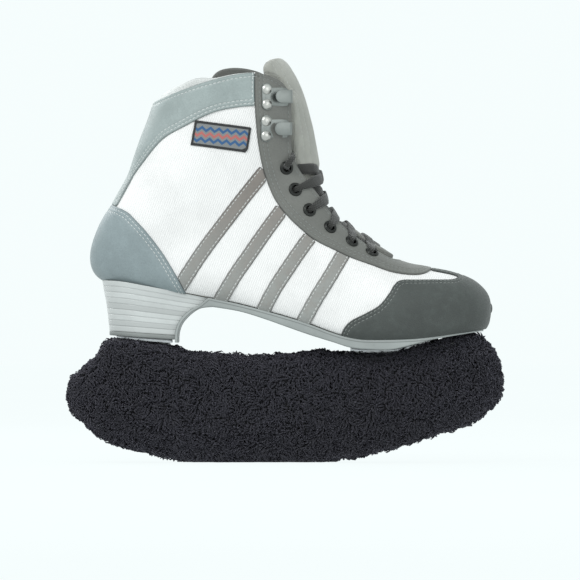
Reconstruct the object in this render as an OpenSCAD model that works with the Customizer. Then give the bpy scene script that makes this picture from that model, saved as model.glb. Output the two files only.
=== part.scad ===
// Lace-up ice skate for the right foot, with a plush cover pulled over its blade.
// The toe points along +X, the inner side of the foot faces +Y, and the cover rests on Z = 0.

/* [Upper] */
// Thickness of the textile quarters and of the vamp
upper_t = 1.8; // [1.4:0.1:2]
// Thickness of the leather panels sewn on the outside
panel_t = 1.2; // [0.8:0.1:1.4]
// Thickness of the padded lining
lining_t = 2.6; // [2:0.1:3]
// Thickness of the padded tongue
tongue_t = 8; // [6:0.5:9]
// Half the width of the tongue's free upper part
tongue_half_w = 23.5; // [20:0.5:23.5]
// Width of the slanting side bands
band_w = 9.4; // [7:0.2:11]

/* [Lacing] */
// Outer diameter of an eyelet
eyelet_d = 9.2; // [8:0.2:10]
// Diameter of the hole in an eyelet
eyelet_hole_d = 5.4; // [4.8:0.2:6]
// Width of the flat lace
lace_w = 7; // [5:0.5:8]
// Thickness of the flat lace
lace_t = 1.4; // [1:0.1:1.5]
// Diameter of a hook's rivet heads
rivet_d = 6.8; // [5:0.2:7]
// Thickness of a lace hook's sheet metal
hook_t = 0.9; // [0.7:0.1:1.1]

/* [Sole] */
// How far the sole's edge stands out from the upper
welt = 1.6; // [1:0.2:2.4]
// Thickness of the board inside the boot
board_t = 2; // [1.5:0.5:2.5]
// Thickness of the footbed
footbed_t = 4; // [3:0.5:5]
// Thickness of the heel's wearing layer
lift_t = 3; // [2:0.5:4]
// Width of the steel shank between the board and the sole
shank_w = 13; // [10:1:16]

/* [Blade] */
// Thickness of the blade
blade_t = 4; // [3.6:0.1:4.2]
// Thickness of the mounting plates
plate_t = 2.4; // [2:0.1:2.6]
// Half the width of the plate under the sole
sole_plate_half_w = 20; // [17:1:20]
// Half the width of the plate under the heel
heel_plate_half_w = 17; // [15:1:17]
// Diameter of the screw heads
screw_head_d = 7.5; // [6:0.5:8]

/* [Cover] */
// Thickness of the cover's woven lining
cover_lining_t = 1.2; // [1:0.1:1.6]
// Room between the blade and the cover's lining
cover_room = 1; // [0.8:0.1:1.2]
// Diameter of the elastic round the cover's opening
elastic_d = 3; // [2:0.5:3]

/* [Hidden] */

LATERAL = -1;
MEDIAL = 1;
gap = 0.05;
far = 150;

// The boot's outer skin is a row of closed rings that fan out from the toe, round the heel and up
// the shaft. Each ring lies in a plane across the boot and runs through a back point on the sole
// or heel and a front point on the instep. The columns are: back x, back z, front x, front z,
// half width, sideways shift, share of the height where it is widest, and how square the ring is
// at its back and at its front, where 2 is an ellipse.
rings = [
    [135.9, 99.5, 135.9, 104.5, 5, 7, 0.5, 2, 2],
    [134.5, 92, 134.5, 110, 16, 6.5, 0.45, 2.6, 2.2],
    [131, 87.5, 131, 115, 25, 6, 0.42, 3.2, 2.2],
    [124, 85, 124, 120.3, 33.5, 5, 0.4, 3.8, 2.3],
    [112, 82.6, 112, 125, 40.5, 3.5, 0.38, 4.4, 2.3],
    [96, 80.2, 96, 128.3, 44.3, 1.5, 0.36, 5, 2.3],
    [78, 79, 79, 132, 45, 0, 0.33, 5, 2.2],
    [60, 78.6, 63.5, 141.2, 43, -1.5, 0.31, 5, 2],
    [42, 80, 50, 150.4, 39.5, -3, 0.31, 4.8, 1.9],
    [20, 86.3, 40.3, 159.3, 36.5, -4, 0.32, 4.6, 1.9],
    [-5, 94, 33.5, 168, 34.5, -4, 0.34, 4.4, 2],
    [-32, 101.8, 29.7, 178, 34, -3, 0.37, 4.2, 2.1],
    [-60, 108, 27.8, 188, 34, -2, 0.4, 4, 2.2],
    [-88, 113.5, 26.2, 197, 34, -1, 0.43, 3.4, 2.3],
    [-110, 117.6, 25, 205, 34, 0, 0.45, 2.7, 2.3],
    [-123.8, 125, 23.6, 213, 34.5, 0, 0.46, 2.3, 2.4],
    [-127, 138, 22, 220.5, 35.5, 0, 0.46, 2.2, 2.4],
    [-121.6, 156, 20, 228, 36.5, 0, 0.46, 2.2, 2.4],
    [-111, 174, 17.8, 236.5, 37, 0, 0.46, 2.2, 2.4],
    [-102, 190, 15.4, 244, 37.2, 0, 0.46, 2.2, 2.4],
    [-96, 208, 12.8, 251, 37.4, 0, 0.46, 2.2, 2.4],
    [-90, 224, 9.4, 258, 37.6, 0, 0.46, 2.2, 2.4],
    [-84.5, 240, 4.2, 265.5, 38, 0, 0.46, 2.2, 2.4],
    [-79, 256, -3, 272, 38.5, 0, 0.46, 2.2, 2.4]];
toe_rings = 5;
ring_steps = 1;
ring_sides = 24;

// Lines of the side view, as [x, z]. The closed outlines below are made from them.
sole_line = [[-132, 121], [-111, 120.3], [-94, 117.6], [-65, 112], [-29, 104.8], [9, 94.3],
    [32, 86], [45, 82.6], [57, 81.5], [82, 82], [104, 84.1], [136, 89.4]];
throat_line = [[80, 133.4], [71, 134.4], [62, 138.8], [48, 148], [37.6, 156.8], [29.3, 166],
    [22.5, 176.5], [14, 187.5], [8.5, 196], [5, 205.5], [4.5, 220], [4.5, 233], [3, 243],
    [-1.5, 250.8], [-10, 255.2], [-18.5, 257.5]];
collar_line = [[-18.5, 257.5], [-34, 255.7], [-53, 250.8], [-71, 244.3], [-86, 238], [-100, 232]];
eyestay_line = [[100, 134], [98, 128.5], [93, 125], [84, 124], [70.5, 126], [57.5, 130.5],
    [43.5, 135.5], [34, 140], [21, 146.5], [13, 152.5], [2.5, 162.5], [-6.5, 174.5], [-13, 191],
    [-16.5, 207], [-18.5, 223.5], [-19.5, 242], [-19.5, 262]];
toe_cap_line = [[36.5, 78], [38.5, 87], [43.5, 93.5], [54, 99], [62.5, 104], [68.5, 111],
    [72.5, 117.3], [77, 120.3], [90, 120.5], [104, 120.5], [111, 120.8], [114.6, 122.3],
    [111, 123.9], [104, 125.4], [97, 127.2], [93, 132]];
counter_line = [[-128, 173], [-116, 171], [-104, 166], [-97.5, 160], [-91, 153], [-85, 145.5],
    [-78.5, 136.5], [-70.5, 123], [-64.5, 112], [-61, 104]];
band_line = [[-17, 235.5], [-29.5, 234.5], [-43, 232], [-53.5, 228], [-67, 221], [-77, 215.5],
    [-84, 209], [-92.5, 198.5], [-98, 191], [-101.5, 185], [-107.5, 174], [-112, 166]];
vamp_seam = [[41, 160], [39, 137.5], [29.5, 122], [20, 107.5], [12, 90], [10, 80]];
band_middles = [
    [[-8, 198], [-25, 177], [-41.4, 155.6], [-55.5, 136.5], [-72, 111]],
    [[5, 176], [-11.5, 153.5], [-23, 137], [-33, 122.5], [-47, 99]],
    [[24, 158], [13, 143.5], [3, 129], [-7, 113.5], [-16, 96]],
    [[44, 146], [37, 134.5], [29.2, 121.5], [20.5, 107.5], [11, 90]]];
label_corners = [[-58.5, 226], [-21.5, 221.2], [-24, 204.5], [-61.5, 209.5]];
puff_line = [[99, 78], [97, 95], [98, 112], [101, 122], [104, 150]];
stiffener_line = [[-134, 164], [-118, 163], [-104, 157], [-92, 144], [-80, 126], [-73, 108]];
tongue_top = [[-40, 250], [-15.5, 252], [-14, 258], [-12.3, 263.5], [-9.5, 266.8], [-5.5, 268],
    [-1, 267], [4, 263.5], [10, 257], [30, 250]];
hinge = [23.3, 200];

// The sole, heel and blade in the side view.
under_line = [[-47, 103], [-29, 100], [-12, 94.8], [1.5, 90], [17, 84.6], [33, 79.6], [44, 76.2],
    [57, 75], [70.5, 75], [84, 78], [98, 81.6], [114.5, 84.5], [131, 87]];
breast_outer = [[-69.6, 79.5], [-69.2, 86], [-66.8, 92.3], [-61, 98.5], [-55, 102], [-47, 103]];
breast_inner = [[-72, 79.5], [-71.6, 86.6], [-69, 93.8], [-62.6, 100.6], [-56, 104.4],
    [-50, 109.2]];
heel_bottom = [[-125, 84.9], [-60, 80.7]];
blade_bottom = [[-120, 33], [-118, 25.5], [-110, 19.8], [-94, 17.2], [-60, 15.3], [-10, 15],
    [40, 15.8], [70, 18.5], [85, 22.5], [94, 26], [97, 25], [99.5, 29.5], [103.5, 28.5],
    [106, 33], [110, 32], [112.5, 36.5], [117, 36], [119, 40.5], [123, 40.5], [125, 45],
    [129.5, 47], [130, 52]];
blade_top = [[127, 54], [110, 50.5], [94, 44], [86, 42], [84, 62], [50, 62], [48, 41.5],
    [-76, 41], [-79, 66], [-99, 66], [-103, 41], [-115, 38.5]];
slot_line = [[-121.5, 120], [-121.5, 31], [-119, 23.5], [-110.5, 18.3], [-94, 15.7], [-60, 13.8],
    [-10, 13.5], [40, 14.3], [70, 16.8], [85, 20.6], [97, 23.4], [110, 30], [124, 38.5],
    [131.5, 45.5], [131.5, 120]];

// Rings of the plush cover: x, bottom z, top z and half width.
cover_rings = [
    [-144.2, 44, 50, 5], [-141, 35, 55.8, 12], [-135, 27.5, 60.6, 18.5], [-127, 20.5, 66.5, 23],
    [-120.5, 16, 77, 26], [-114, 12.4, 83.7, 28], [-101, 7.8, 82, 30.5], [-80, 4, 79, 32],
    [-61, -0.6, 73.4, 32], [-38, -1.6, 71.8, 31], [-12, -1.6, 71, 30.5], [14, -1.2, 73, 31],
    [36, 1.4, 73.5, 32], [54, 5, 73.8, 33], [74, 9.5, 75.6, 33.5], [94, 16, 80.8, 32.5],
    [110, 21.5, 83.6, 30.5], [122, 25, 85.6, 27.5], [131, 30, 83.8, 23.5], [138, 36, 76.8, 18.5],
    [142.5, 41, 67.5, 12], [144.7, 46.5, 54, 5]];
cover_sides = 28;

// Eyelets from the collar down to the vamp, and the lace hooks above them, as [x, z].
eyelet_spots = [[1.3, 194.7], [7.2, 180.2], [16.4, 166.7], [29.9, 155.2], [44.2, 145.6],
    [57.6, 138.4]];
hook_spots = [[-5.4, 241.4], [-5.6, 220.6]];
rivet_reach = 7;
rivet_rise = 4.9;

// How far inside the boot's outer skin each layer lies.
outer_panel = gap + panel_t;
upper_in = -upper_t;
stiffener_out = upper_in - gap;
stiffener_in = stiffener_out - 0.75;
lining_out = stiffener_in - gap;
lining_in = lining_out - lining_t;
tongue_out = -2.2;
wing_out = -4.7;
wing_in = -8.7;
board_inset = lining_in - 1.1;

function spline_at(p, s) =
    let (n = len(p) - 1, i = min(max(floor(s), 0), n - 1), t = s - i)
    let (a = p[max(i - 1, 0)], b = p[i], c = p[i + 1], d = p[min(i + 2, n)])
    0.5 * (2 * b + (c - a) * t + (2 * a - 5 * b + 4 * c - d) * t * t
        + (3 * b - a - 3 * c + d) * t * t * t);
function spline(p, steps = 2) = [for (i = [0 : (len(p) - 1) * steps]) spline_at(p, i / steps)];
function reverse(p) = [for (i = [len(p) - 1 : -1 : 0]) p[i]];
function unit(v) = v / norm(v);
function mix(a, b, t) = a + (b - a) * t;
function height(line, x) = lookup(x, spline(line));

// A point of the skin on ring s, at an angle from its front point, moved outwards by off.
function toe_turn(s) = 90 * min(s / toe_rings, 1);
function skin(s, angle, off) =
    let (c = spline_at(rings, s), ahead = off * cos(toe_turn(s)), out = off * sin(toe_turn(s)))
    let (back = [c[0] + ahead, c[1]], front = [c[2] + ahead, c[3]])
    let (length = norm(front - back), dir = (front - back) / length, wide = c[6] * length)
    let (is_front = cos(angle) >= 0, power = is_front ? c[8] : c[7])
    let (r = pow(pow(abs(cos(angle)), power) + pow(abs(sin(angle)), power), -1 / power))
    let (along = wide + (is_front ? length - wide + out : wide + out) * r * cos(angle))
    [back[0] + dir[0] * along, c[5] + (c[4] + out) * r * sin(angle), back[1] + dir[1] * along];

// The ring through a point of the side view, found by halving, and the angle on that ring.
function side_of(s, x, z) =
    let (c = spline_at(rings, s))
    (c[2] - c[0]) * (z - c[1]) - (c[3] - c[1]) * (x - c[0]);
function ring_through(x, z, low = 0, high = len(rings) - 1, tries = 20) =
    tries == 0 ? (low + high) / 2
    : let (middle = (low + high) / 2)
        side_of(middle, x, z) > 0 ? ring_through(x, z, middle, high, tries - 1)
        : ring_through(x, z, low, middle, tries - 1);
function spot(x, z) =
    let (s = ring_through(x, z), c = spline_at(rings, s), back = [c[0], c[1]])
    let (chord = [c[2], c[3]] - back, length = norm(chord), wide = c[6] * length)
    let (q = ([x, z] - back) * chord / length - wide, is_front = q >= 0)
    let (half = is_front ? length - wide : wide, power = is_front ? c[8] : c[7])
    let (y = pow(max(0, 1 - pow(min(abs(q) / half, 1), power)), 1 / power))
    [s, atan2(y, q / half)];
function on_skin(x, z, side, off = 0) = let (p = spot(x, z)) skin(p[0], side * p[1], off);
function normal_at(x, z, side) =
    let (p = on_skin(x, z, side), u = on_skin(x + 1, z, side) - p, v = on_skin(x, z + 1, side) - p)
    unit(cross(u, v)) * -side;
function half_width(x, z, side, off) = abs(on_skin(x, z, side, off)[1]) * side;

// A closed skin between two distances from the outer skin, open at the collar.
function skin_rings(off) = [for (i = [0 : (len(rings) - 1) * ring_steps])
    [for (j = [0 : ring_sides - 1]) skin(i / ring_steps, 360 * j / ring_sides, off)]];
function flat(lists) = [for (l = lists) each l];
function centre(points) = [for (k = [0 : 2]) [for (p = points) p[k]] * [for (p = points) 1]
    / len(points)];
function wall(first, rows, sides, flip) = [for (i = [0 : rows - 2], j = [0 : sides - 1])
    let (a = first + i * sides + j, b = first + i * sides + (j + 1) % sides)
    flip ? [a, b, b + sides, a + sides] : [a, a + sides, b + sides, b]];
function fan(tip, first, sides, flip) = [for (j = [0 : sides - 1])
    let (a = first + j, b = first + (j + 1) % sides) flip ? [tip, b, a] : [tip, a, b]];

module skin_layer(outer, inner) {
    outside = skin_rings(outer);
    inside = skin_rings(inner);
    rows = len(outside);
    n = ring_sides;
    count = rows * n;
    points = concat(flat(outside), flat(inside), [centre(outside[0]), centre(inside[0])]);
    rim = [for (j = [0 : n - 1]) let (a = (rows - 1) * n + j, b = (rows - 1) * n + (j + 1) % n)
        [a, a + count, b + count, b]];
    polyhedron(points, concat(wall(0, rows, n, false), wall(count, rows, n, true),
        fan(2 * count, 0, n, false), fan(2 * count + 1, count, n, true), rim));
}

module loft(sections) {
    n = len(sections[0]);
    rows = len(sections);
    points = concat(flat(sections), [centre(sections[0]), centre(sections[rows - 1])]);
    polyhedron(points, concat(wall(0, rows, n, false), fan(rows * n, 0, n, false),
        fan(rows * n + 1, (rows - 1) * n, n, true)));
}

// Makes one faceted body of what it is given.
module mesh() {
    resize([0, 0, 0]) children();
}

// A solid with the given outline in the side view, between two places across the boot.
module side_solid(outline, from_y, to_y) {
    translate([0, to_y, 0]) rotate([90, 0, 0]) linear_extrude(to_y - from_y) polygon(outline);
}

// Everything on one side of the boot's middle, or on both sides when side is 0.
module side_region(outline, side) {
    side_solid(outline, side == LATERAL ? -far : side == MEDIAL ? gap : -far,
        side == LATERAL ? -gap : far);
}

// Closed outlines of the side view.
upper_outline = concat(spline(sole_line), [[far, 90], [far, far], [86, far]],
    spline(throat_line), spline(collar_line), [[-far, 232], [-far, 121]]);
facing_outline = concat(reverse(spline(eyestay_line)), [[100, 290], [-19.5, 290]]);
throat_outline = concat(spline(throat_line), [[-18.5, 290], [far, 290], [far, 134]]);
toe_cap_outline = concat(spline(toe_cap_line), [[93, far], [far, far], [far, 78]]);
counter_outline = concat(spline(counter_line), [[-61, 78], [-far, 78], [-far, 173]]);
band_outline = concat(spline(band_line), [[-far, 166], [-far, 290], [-17, 290]]);
vamp_outline = concat(spline(vamp_seam), [[10, 0], [far, 0], [far, far + 30], [41, far + 30]]);
puff_outline = concat(spline(puff_line), [[far, far], [far, 78]]);
stiffener_outline = concat(spline(stiffener_line), [[-73, 78], [-far, 78], [-far, 164]]);

// A strip of a given width along a line of the side view.
function strip(line, width) =
    let (p = spline(line, 4), n = len(p) - 1)
    let (turn = [for (i = [0 : n]) let (d = unit(p[min(i + 1, n)] - p[max(i - 1, 0)]))
        [-d[1], d[0]] * width / 2])
    concat([for (i = [0 : n]) p[i] + turn[i]], [for (i = [n : -1 : 0]) p[i] - turn[i]]);

// One sewn panel: a layer of the skin cut to the upper and to an outline on one side.
module panel(outline, side, outer, inner) {
    intersection() {
        skin_layer(outer, inner);
        side_solid(upper_outline, -far, far);
        side_region(outline, side);
    }
}

// Where the board and the footbed lie, which the layers round them leave free.
module board_space() {
    intersection() {
        side_solid(concat(raised(spline(sole_line), -1.2),
            reverse(raised(spline(sole_line), board_t + footbed_t + gap))), -far, far);
        linear_extrude(far) offset(delta = gap) polygon(insole_plan);
    }
}

module eyelet_bores(side) {
    for (e = eyelet_spots)
        at_skin(e, side, 0) cylinder(d = eyelet_hole_d + 1, h = 20, center = true, $fn = 16);
}

// Puts its children on the skin with +Z along the outward normal and +X towards the toe.
module at_skin(place, side, off) {
    p = on_skin(place[0], place[1], side);
    n = normal_at(place[0], place[1], side);
    ahead = unit(cross([0, 0, 1], n)) * -side;
    up = cross(n, ahead);
    o = p + n * off;
    multmatrix([[ahead[0], up[0], n[0], o[0]], [ahead[1], up[1], n[1], o[1]],
        [ahead[2], up[2], n[2], o[2]], [0, 0, 0, 1]]) children();
}

module quarter(side) {
    color("whitesmoke") mesh() difference() {
        panel(upper_outline, side, 0, upper_in);
        side_solid(vamp_outline, -far, far);
        board_space();
        eyelet_bores(side);
    }
}

module vamp() {
    color("gainsboro") mesh() difference() {
        panel(vamp_outline, 0, 0, upper_in);
        board_space();
        for (side = [LATERAL, MEDIAL]) eyelet_bores(side);
    }
}

module toe_cap() {
    color("#4d5557") mesh() difference() {
        panel(toe_cap_outline, 0, outer_panel, gap);
        side_solid(facing_outline, -far, far);
    }
}

module heel_counter() {
    color("#8b9ba3") mesh() difference() {
        panel(counter_outline, 0, outer_panel, gap);
        board_space();
    }
}

module collar_band() {
    color("#93a3a3") mesh() difference() {
        panel(band_outline, 0, outer_panel, gap);
        side_solid(facing_outline, -far, far);
        side_solid(counter_outline, -far, far);
    }
}

module eyestay(side) {
    color("#7f8886") mesh() difference() {
        panel(facing_outline, side, outer_panel, gap);
        eyelet_bores(side);
    }
}

module side_band(side, i) {
    color("#8f8d88") mesh() difference() {
        panel(strip(band_middles[i], band_w), side, outer_panel - 0.2, gap);
        side_solid(facing_outline, -far, far);
        side_solid(counter_outline, -far, far);
    }
}

module label_patch() {
    color("steelblue") mesh() panel(label_corners, LATERAL, outer_panel, gap);
}

module lining() {
    color("#b9bfbb") mesh() difference() {
        panel(upper_outline, 0, lining_out, lining_in);
        side_solid(facing_outline, -far, far);
        board_space();
    }
}

module toe_puff() {
    color("tan") mesh() difference() {
        panel(puff_outline, 0, stiffener_out, stiffener_in);
        side_solid(facing_outline, -far, far);
        board_space();
    }
}

module counter_stiffener() {
    color("tan") mesh() difference() {
        panel(stiffener_outline, 0, stiffener_out, stiffener_in);
        board_space();
    }
}

// The throat, less a channel beside the tongue that the lace runs through.
module throat_core(room, low, high) {
    intersection() {
        translate([room, 0, room * 0.4]) side_solid(throat_outline, -far, far);
        translate([-far, -far, low]) cube([2 * far, 2 * far, high - low]);
    }
}

module tongue_base() {
    color("#b4b8ae") mesh() intersection() {
        union() {
            intersection() {
                skin_layer(tongue_out, tongue_out - tongue_t);
                throat_core(2.8, 0, 290);
            }
            intersection() {
                skin_layer(wing_out, wing_in);
                side_solid(facing_outline, -far, far);
            }
        }
        translate([-far, -far, 0]) cube([2 * far, 2 * far, hinge[1] - 0.3]);
    }
}

module tongue_flap() {
    color("#b4b8ae") mesh() intersection() {
        skin_layer(tongue_out, tongue_out - tongue_t);
        throat_core(1, hinge[1] + 0.3, 290);
        side_solid(concat(spline(tongue_top), [[30, 190], [-40, 190]]), -tongue_half_w,
            tongue_half_w);
    }
}

// A flat sheet that follows the sole line, shaped in plan by the skin at a given distance.
function plan(line, from_x, to_x, off, lift = 0, steps = 26) =
    let (middle = (from_x + to_x) / 2, reach = (to_x - from_x) / 2)
    let (xs = [for (i = [0 : steps]) middle - reach * cos(180 * i / steps)])
    concat([for (x = xs) [x, half_width(x, height(line, x) + lift, LATERAL, off)]],
        [for (x = reverse(xs)) [x, half_width(x, height(line, x) + lift, MEDIAL, off)]]);
module plan_solid(outline) {
    linear_extrude(far) polygon(outline);
}
function raised(line, z) = [for (p = line) p + [0, z]];

insole_plan = plan(sole_line, -117 - board_inset, 129.5 + board_inset, board_inset, 1);
outsole_plan = plan(sole_line, -120, 132, welt, 0.5);

module insole_board() {
    color("burlywood") intersection() {
        side_solid(concat(raised(spline(sole_line), gap),
            reverse(raised(spline(sole_line), board_t))), -far, far);
        plan_solid(insole_plan);
    }
}

module footbed() {
    color("lightsteelblue") intersection() {
        side_solid(concat(raised(spline(sole_line), board_t + gap),
            reverse(raised(spline(sole_line), board_t + footbed_t))), -far, far);
        plan_solid(insole_plan);
    }
}

shank_x = [-98, 20];
module shank_body(grow) {
    thick = 1.6;
    path = [for (p = spline(sole_line)) if (p[0] > shank_x[0] && p[0] < shank_x[1]) p];
    side_solid(concat(raised(path, gap - grow), reverse(raised(path, -thick - grow))),
        -shank_w / 2 - grow, shank_w / 2 + grow);
}

module shank() {
    color("silver") shank_body(0);
}

module outsole() {
    color("#b3bdb8") difference() {
        intersection() {
            side_solid(concat(spline(breast_outer), spline(under_line), [[140, 88.8], [140, 90]],
                reverse([for (p = spline(sole_line)) if (p[0] > -50 && p[0] < 135) p]),
                reverse(spline(breast_inner))), -far, far);
            plan_solid(outsole_plan);
        }
        shank_body(gap);
    }
}

// The stacked heel follows the sole in plan, and narrows and leans forwards down to the plate.
heel_plan = plan(sole_line, -120.5, -45, welt - 0.2, 0.5, 16);
heel_outline = concat([[-114, 70], [-72, 70]], spline(breast_inner), [[-50, 140], [-121, 140],
    [-121, 124]]);
heel_foot_half = 23.5;
heel_top_half = 26;

// The slice of the heel between two heights over its bottom, behind the sole's flap.
module heel_slice(low, high) {
    intersection() {
        plan_solid(heel_plan);
        side_solid(heel_outline, -far, far);
        side_solid(concat(raised(heel_bottom, low), reverse(raised(heel_bottom, high))),
            -far, far);
        translate([-far, 0, 0]) rotate([90, 0, 90]) linear_extrude(2 * far)
            polygon([[-heel_foot_half, 78], [heel_foot_half, 78], [heel_top_half, 124],
                [-heel_top_half, 124]]);
    }
}

module heel_block() {
    color("#aab0aa") difference() {
        heel_slice(lift_t, 60);
        side_solid(concat([[-132, 200]], spline(sole_line), [[140, 200]]), -far, far);
        shank_body(gap);
    }
}

module heel_lift() {
    color("#5c605e") heel_slice(0, lift_t - gap);
}

module eyelets(side) {
    color("#3d4444") for (e = eyelet_spots) at_skin(e, side, outer_panel) {
        inner = eyelet_hole_d / 2;
        outer = eyelet_d / 2;
        back = outer_panel - upper_in + 0.5;
        rotate_extrude($fn = 40) polygon([[inner, 0.9], [inner + 0.5, 1.1], [outer - 0.6, 0.7],
            [outer, -0.1], [inner + 0.5, -0.1], [inner + 0.5, -back + 0.5], [outer - 1, -back + 0.5],
            [outer - 1, -back], [inner, -back]]);
    }
}

// A lace hook: a plate under two rivets, an arm towards the throat, and a tab folded back over it.
module hook(side, i) {
    bend = 1.9;
    arm_end = 7.6;
    tab_h = 8.6;
    color("silver") at_skin(hook_spots[i], side, outer_panel - 0.6) {
        difference() {
            union() {
                translate([-rivet_reach, 0, 0]) {
                    for (rise = [-rivet_rise, rivet_rise])
                        translate([0, rise, 0]) cylinder(d = rivet_d + 1, h = hook_t, $fn = 40);
                    translate([-rivet_d / 2 - 0.5, -rivet_rise, 0])
                        cube([rivet_d + 1, 2 * rivet_rise, hook_t]);
                }
                translate([-rivet_reach, -tab_h / 2, 0]) cube([rivet_reach + arm_end, tab_h, hook_t]);
            }
            for (rise = [-rivet_rise, rivet_rise])
                translate([-rivet_reach, rise, -1]) cylinder(d = 2.6, h = 4, $fn = 32);
        }
        translate([arm_end, tab_h / 2, bend + hook_t]) rotate([90, 0, 0]) intersection() {
            difference() {
                cylinder(r = bend + hook_t, h = tab_h, $fn = 40);
                translate([0, 0, -1]) cylinder(r = bend, h = tab_h + 2, $fn = 40);
            }
            translate([0, -10, -1]) cube([20, 20, tab_h + 2]);
        }
        translate([0, 0, 2 * bend + hook_t]) {
            translate([1, -tab_h / 2, 0]) cube([arm_end - 1, tab_h, hook_t]);
            translate([1, 0, 0]) cylinder(d = tab_h, h = hook_t, $fn = 40);
        }
    }
}

module hook_rivets() {
    color("#d8dcd8")
        for (h = hook_spots, side = [LATERAL, MEDIAL], rise = [-rivet_rise, rivet_rise])
        at_skin(h, side, outer_panel - 0.6) translate([-rivet_reach, rise, 0]) {
            r = rivet_d / 2;
            rotate_extrude($fn = 40) polygon([[0, hook_t], [r, hook_t], [r, hook_t + 0.4],
                [r * 0.75, hook_t + 1], [r * 0.35, hook_t + 1.3], [0, hook_t + 1.35]]);
            translate([0, 0, -3.4]) cylinder(d = 2.6, h = hook_t + 3.4, $fn = 32);
            translate([0, 0, -4]) cylinder(d = 5, h = 0.6, $fn = 32);
        }
}

// The flat lace swept through frames of [place, direction across, direction through, half width].
function band_ring(f) =
    [for (q = [[1, -1], [1, 1], [-1, 1], [-1, -1]])
        f[0] + f[1] * q[0] * f[3] + f[2] * q[1] * lace_t / 2];
module sweep(frames) {
    loft([for (f = reverse(frames)) band_ring(f)]);
}
module link_sweep(frames) {
    for (i = [0 : len(frames) - 2])
        hull() loft([band_ring(frames[i + 1]), band_ring(frames[i])]);
}

// A crossing leaves one eyelet, runs over the facing's edge, over the tongue, and under the other
// facing to its eyelet. Each row gives how far along it is, its distance from the skin, and its
// share of the lace's width.
over_profile = [[-0.012, -3.9, 0.5], [-0.008, -1.6, 0.5], [0.006, 1, 0.52], [0.035, 2.1, 0.6],
    [0.09, 2.15, 0.8], [0.16, 1.9, 1], [0.26, 0.9, 1], [0.38, 0.6, 1]];
under_profile = [[0.62, -0.9, 1], [0.74, -1, 1], [0.83, -2.2, 1], [0.91, -2.9, 0.9],
    [0.996, -3, 0.6]];
bar_profile = [[0.004, -3, 0.6], [0.09, -2.9, 0.9], [0.18, -2.1, 1], [0.28, -1, 1], [0.5, -0.9, 1],
    [0.72, -1, 1], [0.82, -2.1, 1], [0.91, -2.9, 0.9], [0.996, -3, 0.6]];

// The ring whose front point lies level with a place in the side view, found by halving.
function front_of(s) = let (c = spline_at(rings, s)) [c[2], c[3]];
function level_ring(place, low = 5, high = 20, tries = 16) =
    tries == 0 ? (low + high) / 2
    : let (s = (low + high) / 2, up = front_of(s + 0.1) - front_of(s - 0.1))
        (place - front_of(s)) * up > 0 ? level_ring(place, s, high, tries - 1)
        : level_ring(place, low, s, tries - 1);
function crossing(from_eye, to_eye, side, rows) =
    let (a = spot(from_eye[0], from_eye[1]), b = spot(to_eye[0], to_eye[1]))
    let (top = level_ring((from_eye + to_eye) / 2))
    [for (r = rows) let (t = r[0])
        [a[0] * (1 - t) * (1 - 2 * t) + top * 4 * t * (1 - t) + b[0] * t * (2 * t - 1),
            side * mix(a[1], -b[1], t), r[1], r[2]]];
function skin_frames(path) =
    let (p = [for (q = path) skin(q[0], q[1], q[2])], n = len(p) - 1)
    [for (i = [0 : n])
        let (q = path[i])
        let (e = skin(q[0] + 0.1, q[1], q[2]) - p[i], f = skin(q[0], q[1] + 2, q[2]) - p[i])
        let (out = unit(cross(f, e)), along = p[min(i + 1, n)] - p[max(i - 1, 0)])
        let (across = unit(cross(out, along)))
        [p[i], across, unit(cross(along, across)), lace_w / 2 * q[3]]];

module lace() {
    last = len(eyelet_spots) - 1;
    color("#5b5f5e") mesh() union() {
        for (i = [last : -1 : 1], side = [LATERAL, MEDIAL])
            link_sweep(skin_frames(crossing(eyelet_spots[i], eyelet_spots[i - 1], side,
                concat(over_profile, [[0.5, side == (i % 2 == 0 ? LATERAL : MEDIAL) ? 0.75 : -0.9, 1]],
                under_profile))));
        link_sweep(skin_frames(crossing(eyelet_spots[last], eyelet_spots[last], LATERAL,
            bar_profile)));
    }
}

// Each free end of the lace leaves the top eyelet, tucks in behind the facing's edge, drops inside
// the boot and lies in a long loop on the footbed. Each point is x, distance from the middle, z.
lace_end_path = [
    [1.3, 27.6, 194.7, 0.55], [2.2, 32.4, 197, 0.6], [4.4, 32, 201.5, 0.6], [7, 29.6, 206, 0.5],
    [6.8, 26, 209.6, 0.45], [2.8, 25, 210.2, 0.45], [-1.6, 24, 206.6, 0.5], [-5.4, 23, 199, 0.7],
    [-10.5, 21.8, 187, 0.9], [-16, 20.6, 173, 1], [-21, 19.2, 158, 1], [-26.5, 17.8, 143, 1],
    [-32, 16.4, 129.5, 1], [-40, 15.4, 120, 1], [-52, 15, 120.6, 1], [-68, 15, 123.2, 1],
    [-82, 14.8, 126, 1], [-91, 11.6, 127.8, 1], [-94.5, 7.2, 128.5, 1], [-91, 3, 127.8, 1],
    [-80, 1.8, 125.4, 1], [-60, 1.8, 121.8, 1], [-36, 1.9, 116.8, 1], [-12, 2.2, 111, 1],
    [12, 3, 104, 1], [34, 4.6, 96.2, 1], [46, 8, 92.8, 1], [49.5, 12.4, 92.2, 1],
    [45, 16.8, 93.4, 1], [30, 18.6, 97.6, 1], [12, 19, 104, 1], [-3, 18.6, 108.7, 0.6]];
lace_landing = 13;
function lace_end_frames(side, from, to) =
    let (p = [for (q = lace_end_path) [q[0], side * q[1], q[2]]], n = len(p) - 1)
    [for (i = [from : to])
        let (way = unit(p[min(i + 1, n)] - p[max(i - 1, 0)]))
        let (guess = i < lace_landing ? cross(way, [0, 1, 0]) : [0, 0, -1])
        let (across = unit(guess - way * (guess * way)))
        [p[i], across, cross(way, across), lace_w / 2 * lace_end_path[i][3]]];

module lace_end(side) {
    color("#5b5f5e") sweep(lace_end_frames(side, 0, len(lace_end_path) - 1));
}

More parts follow.
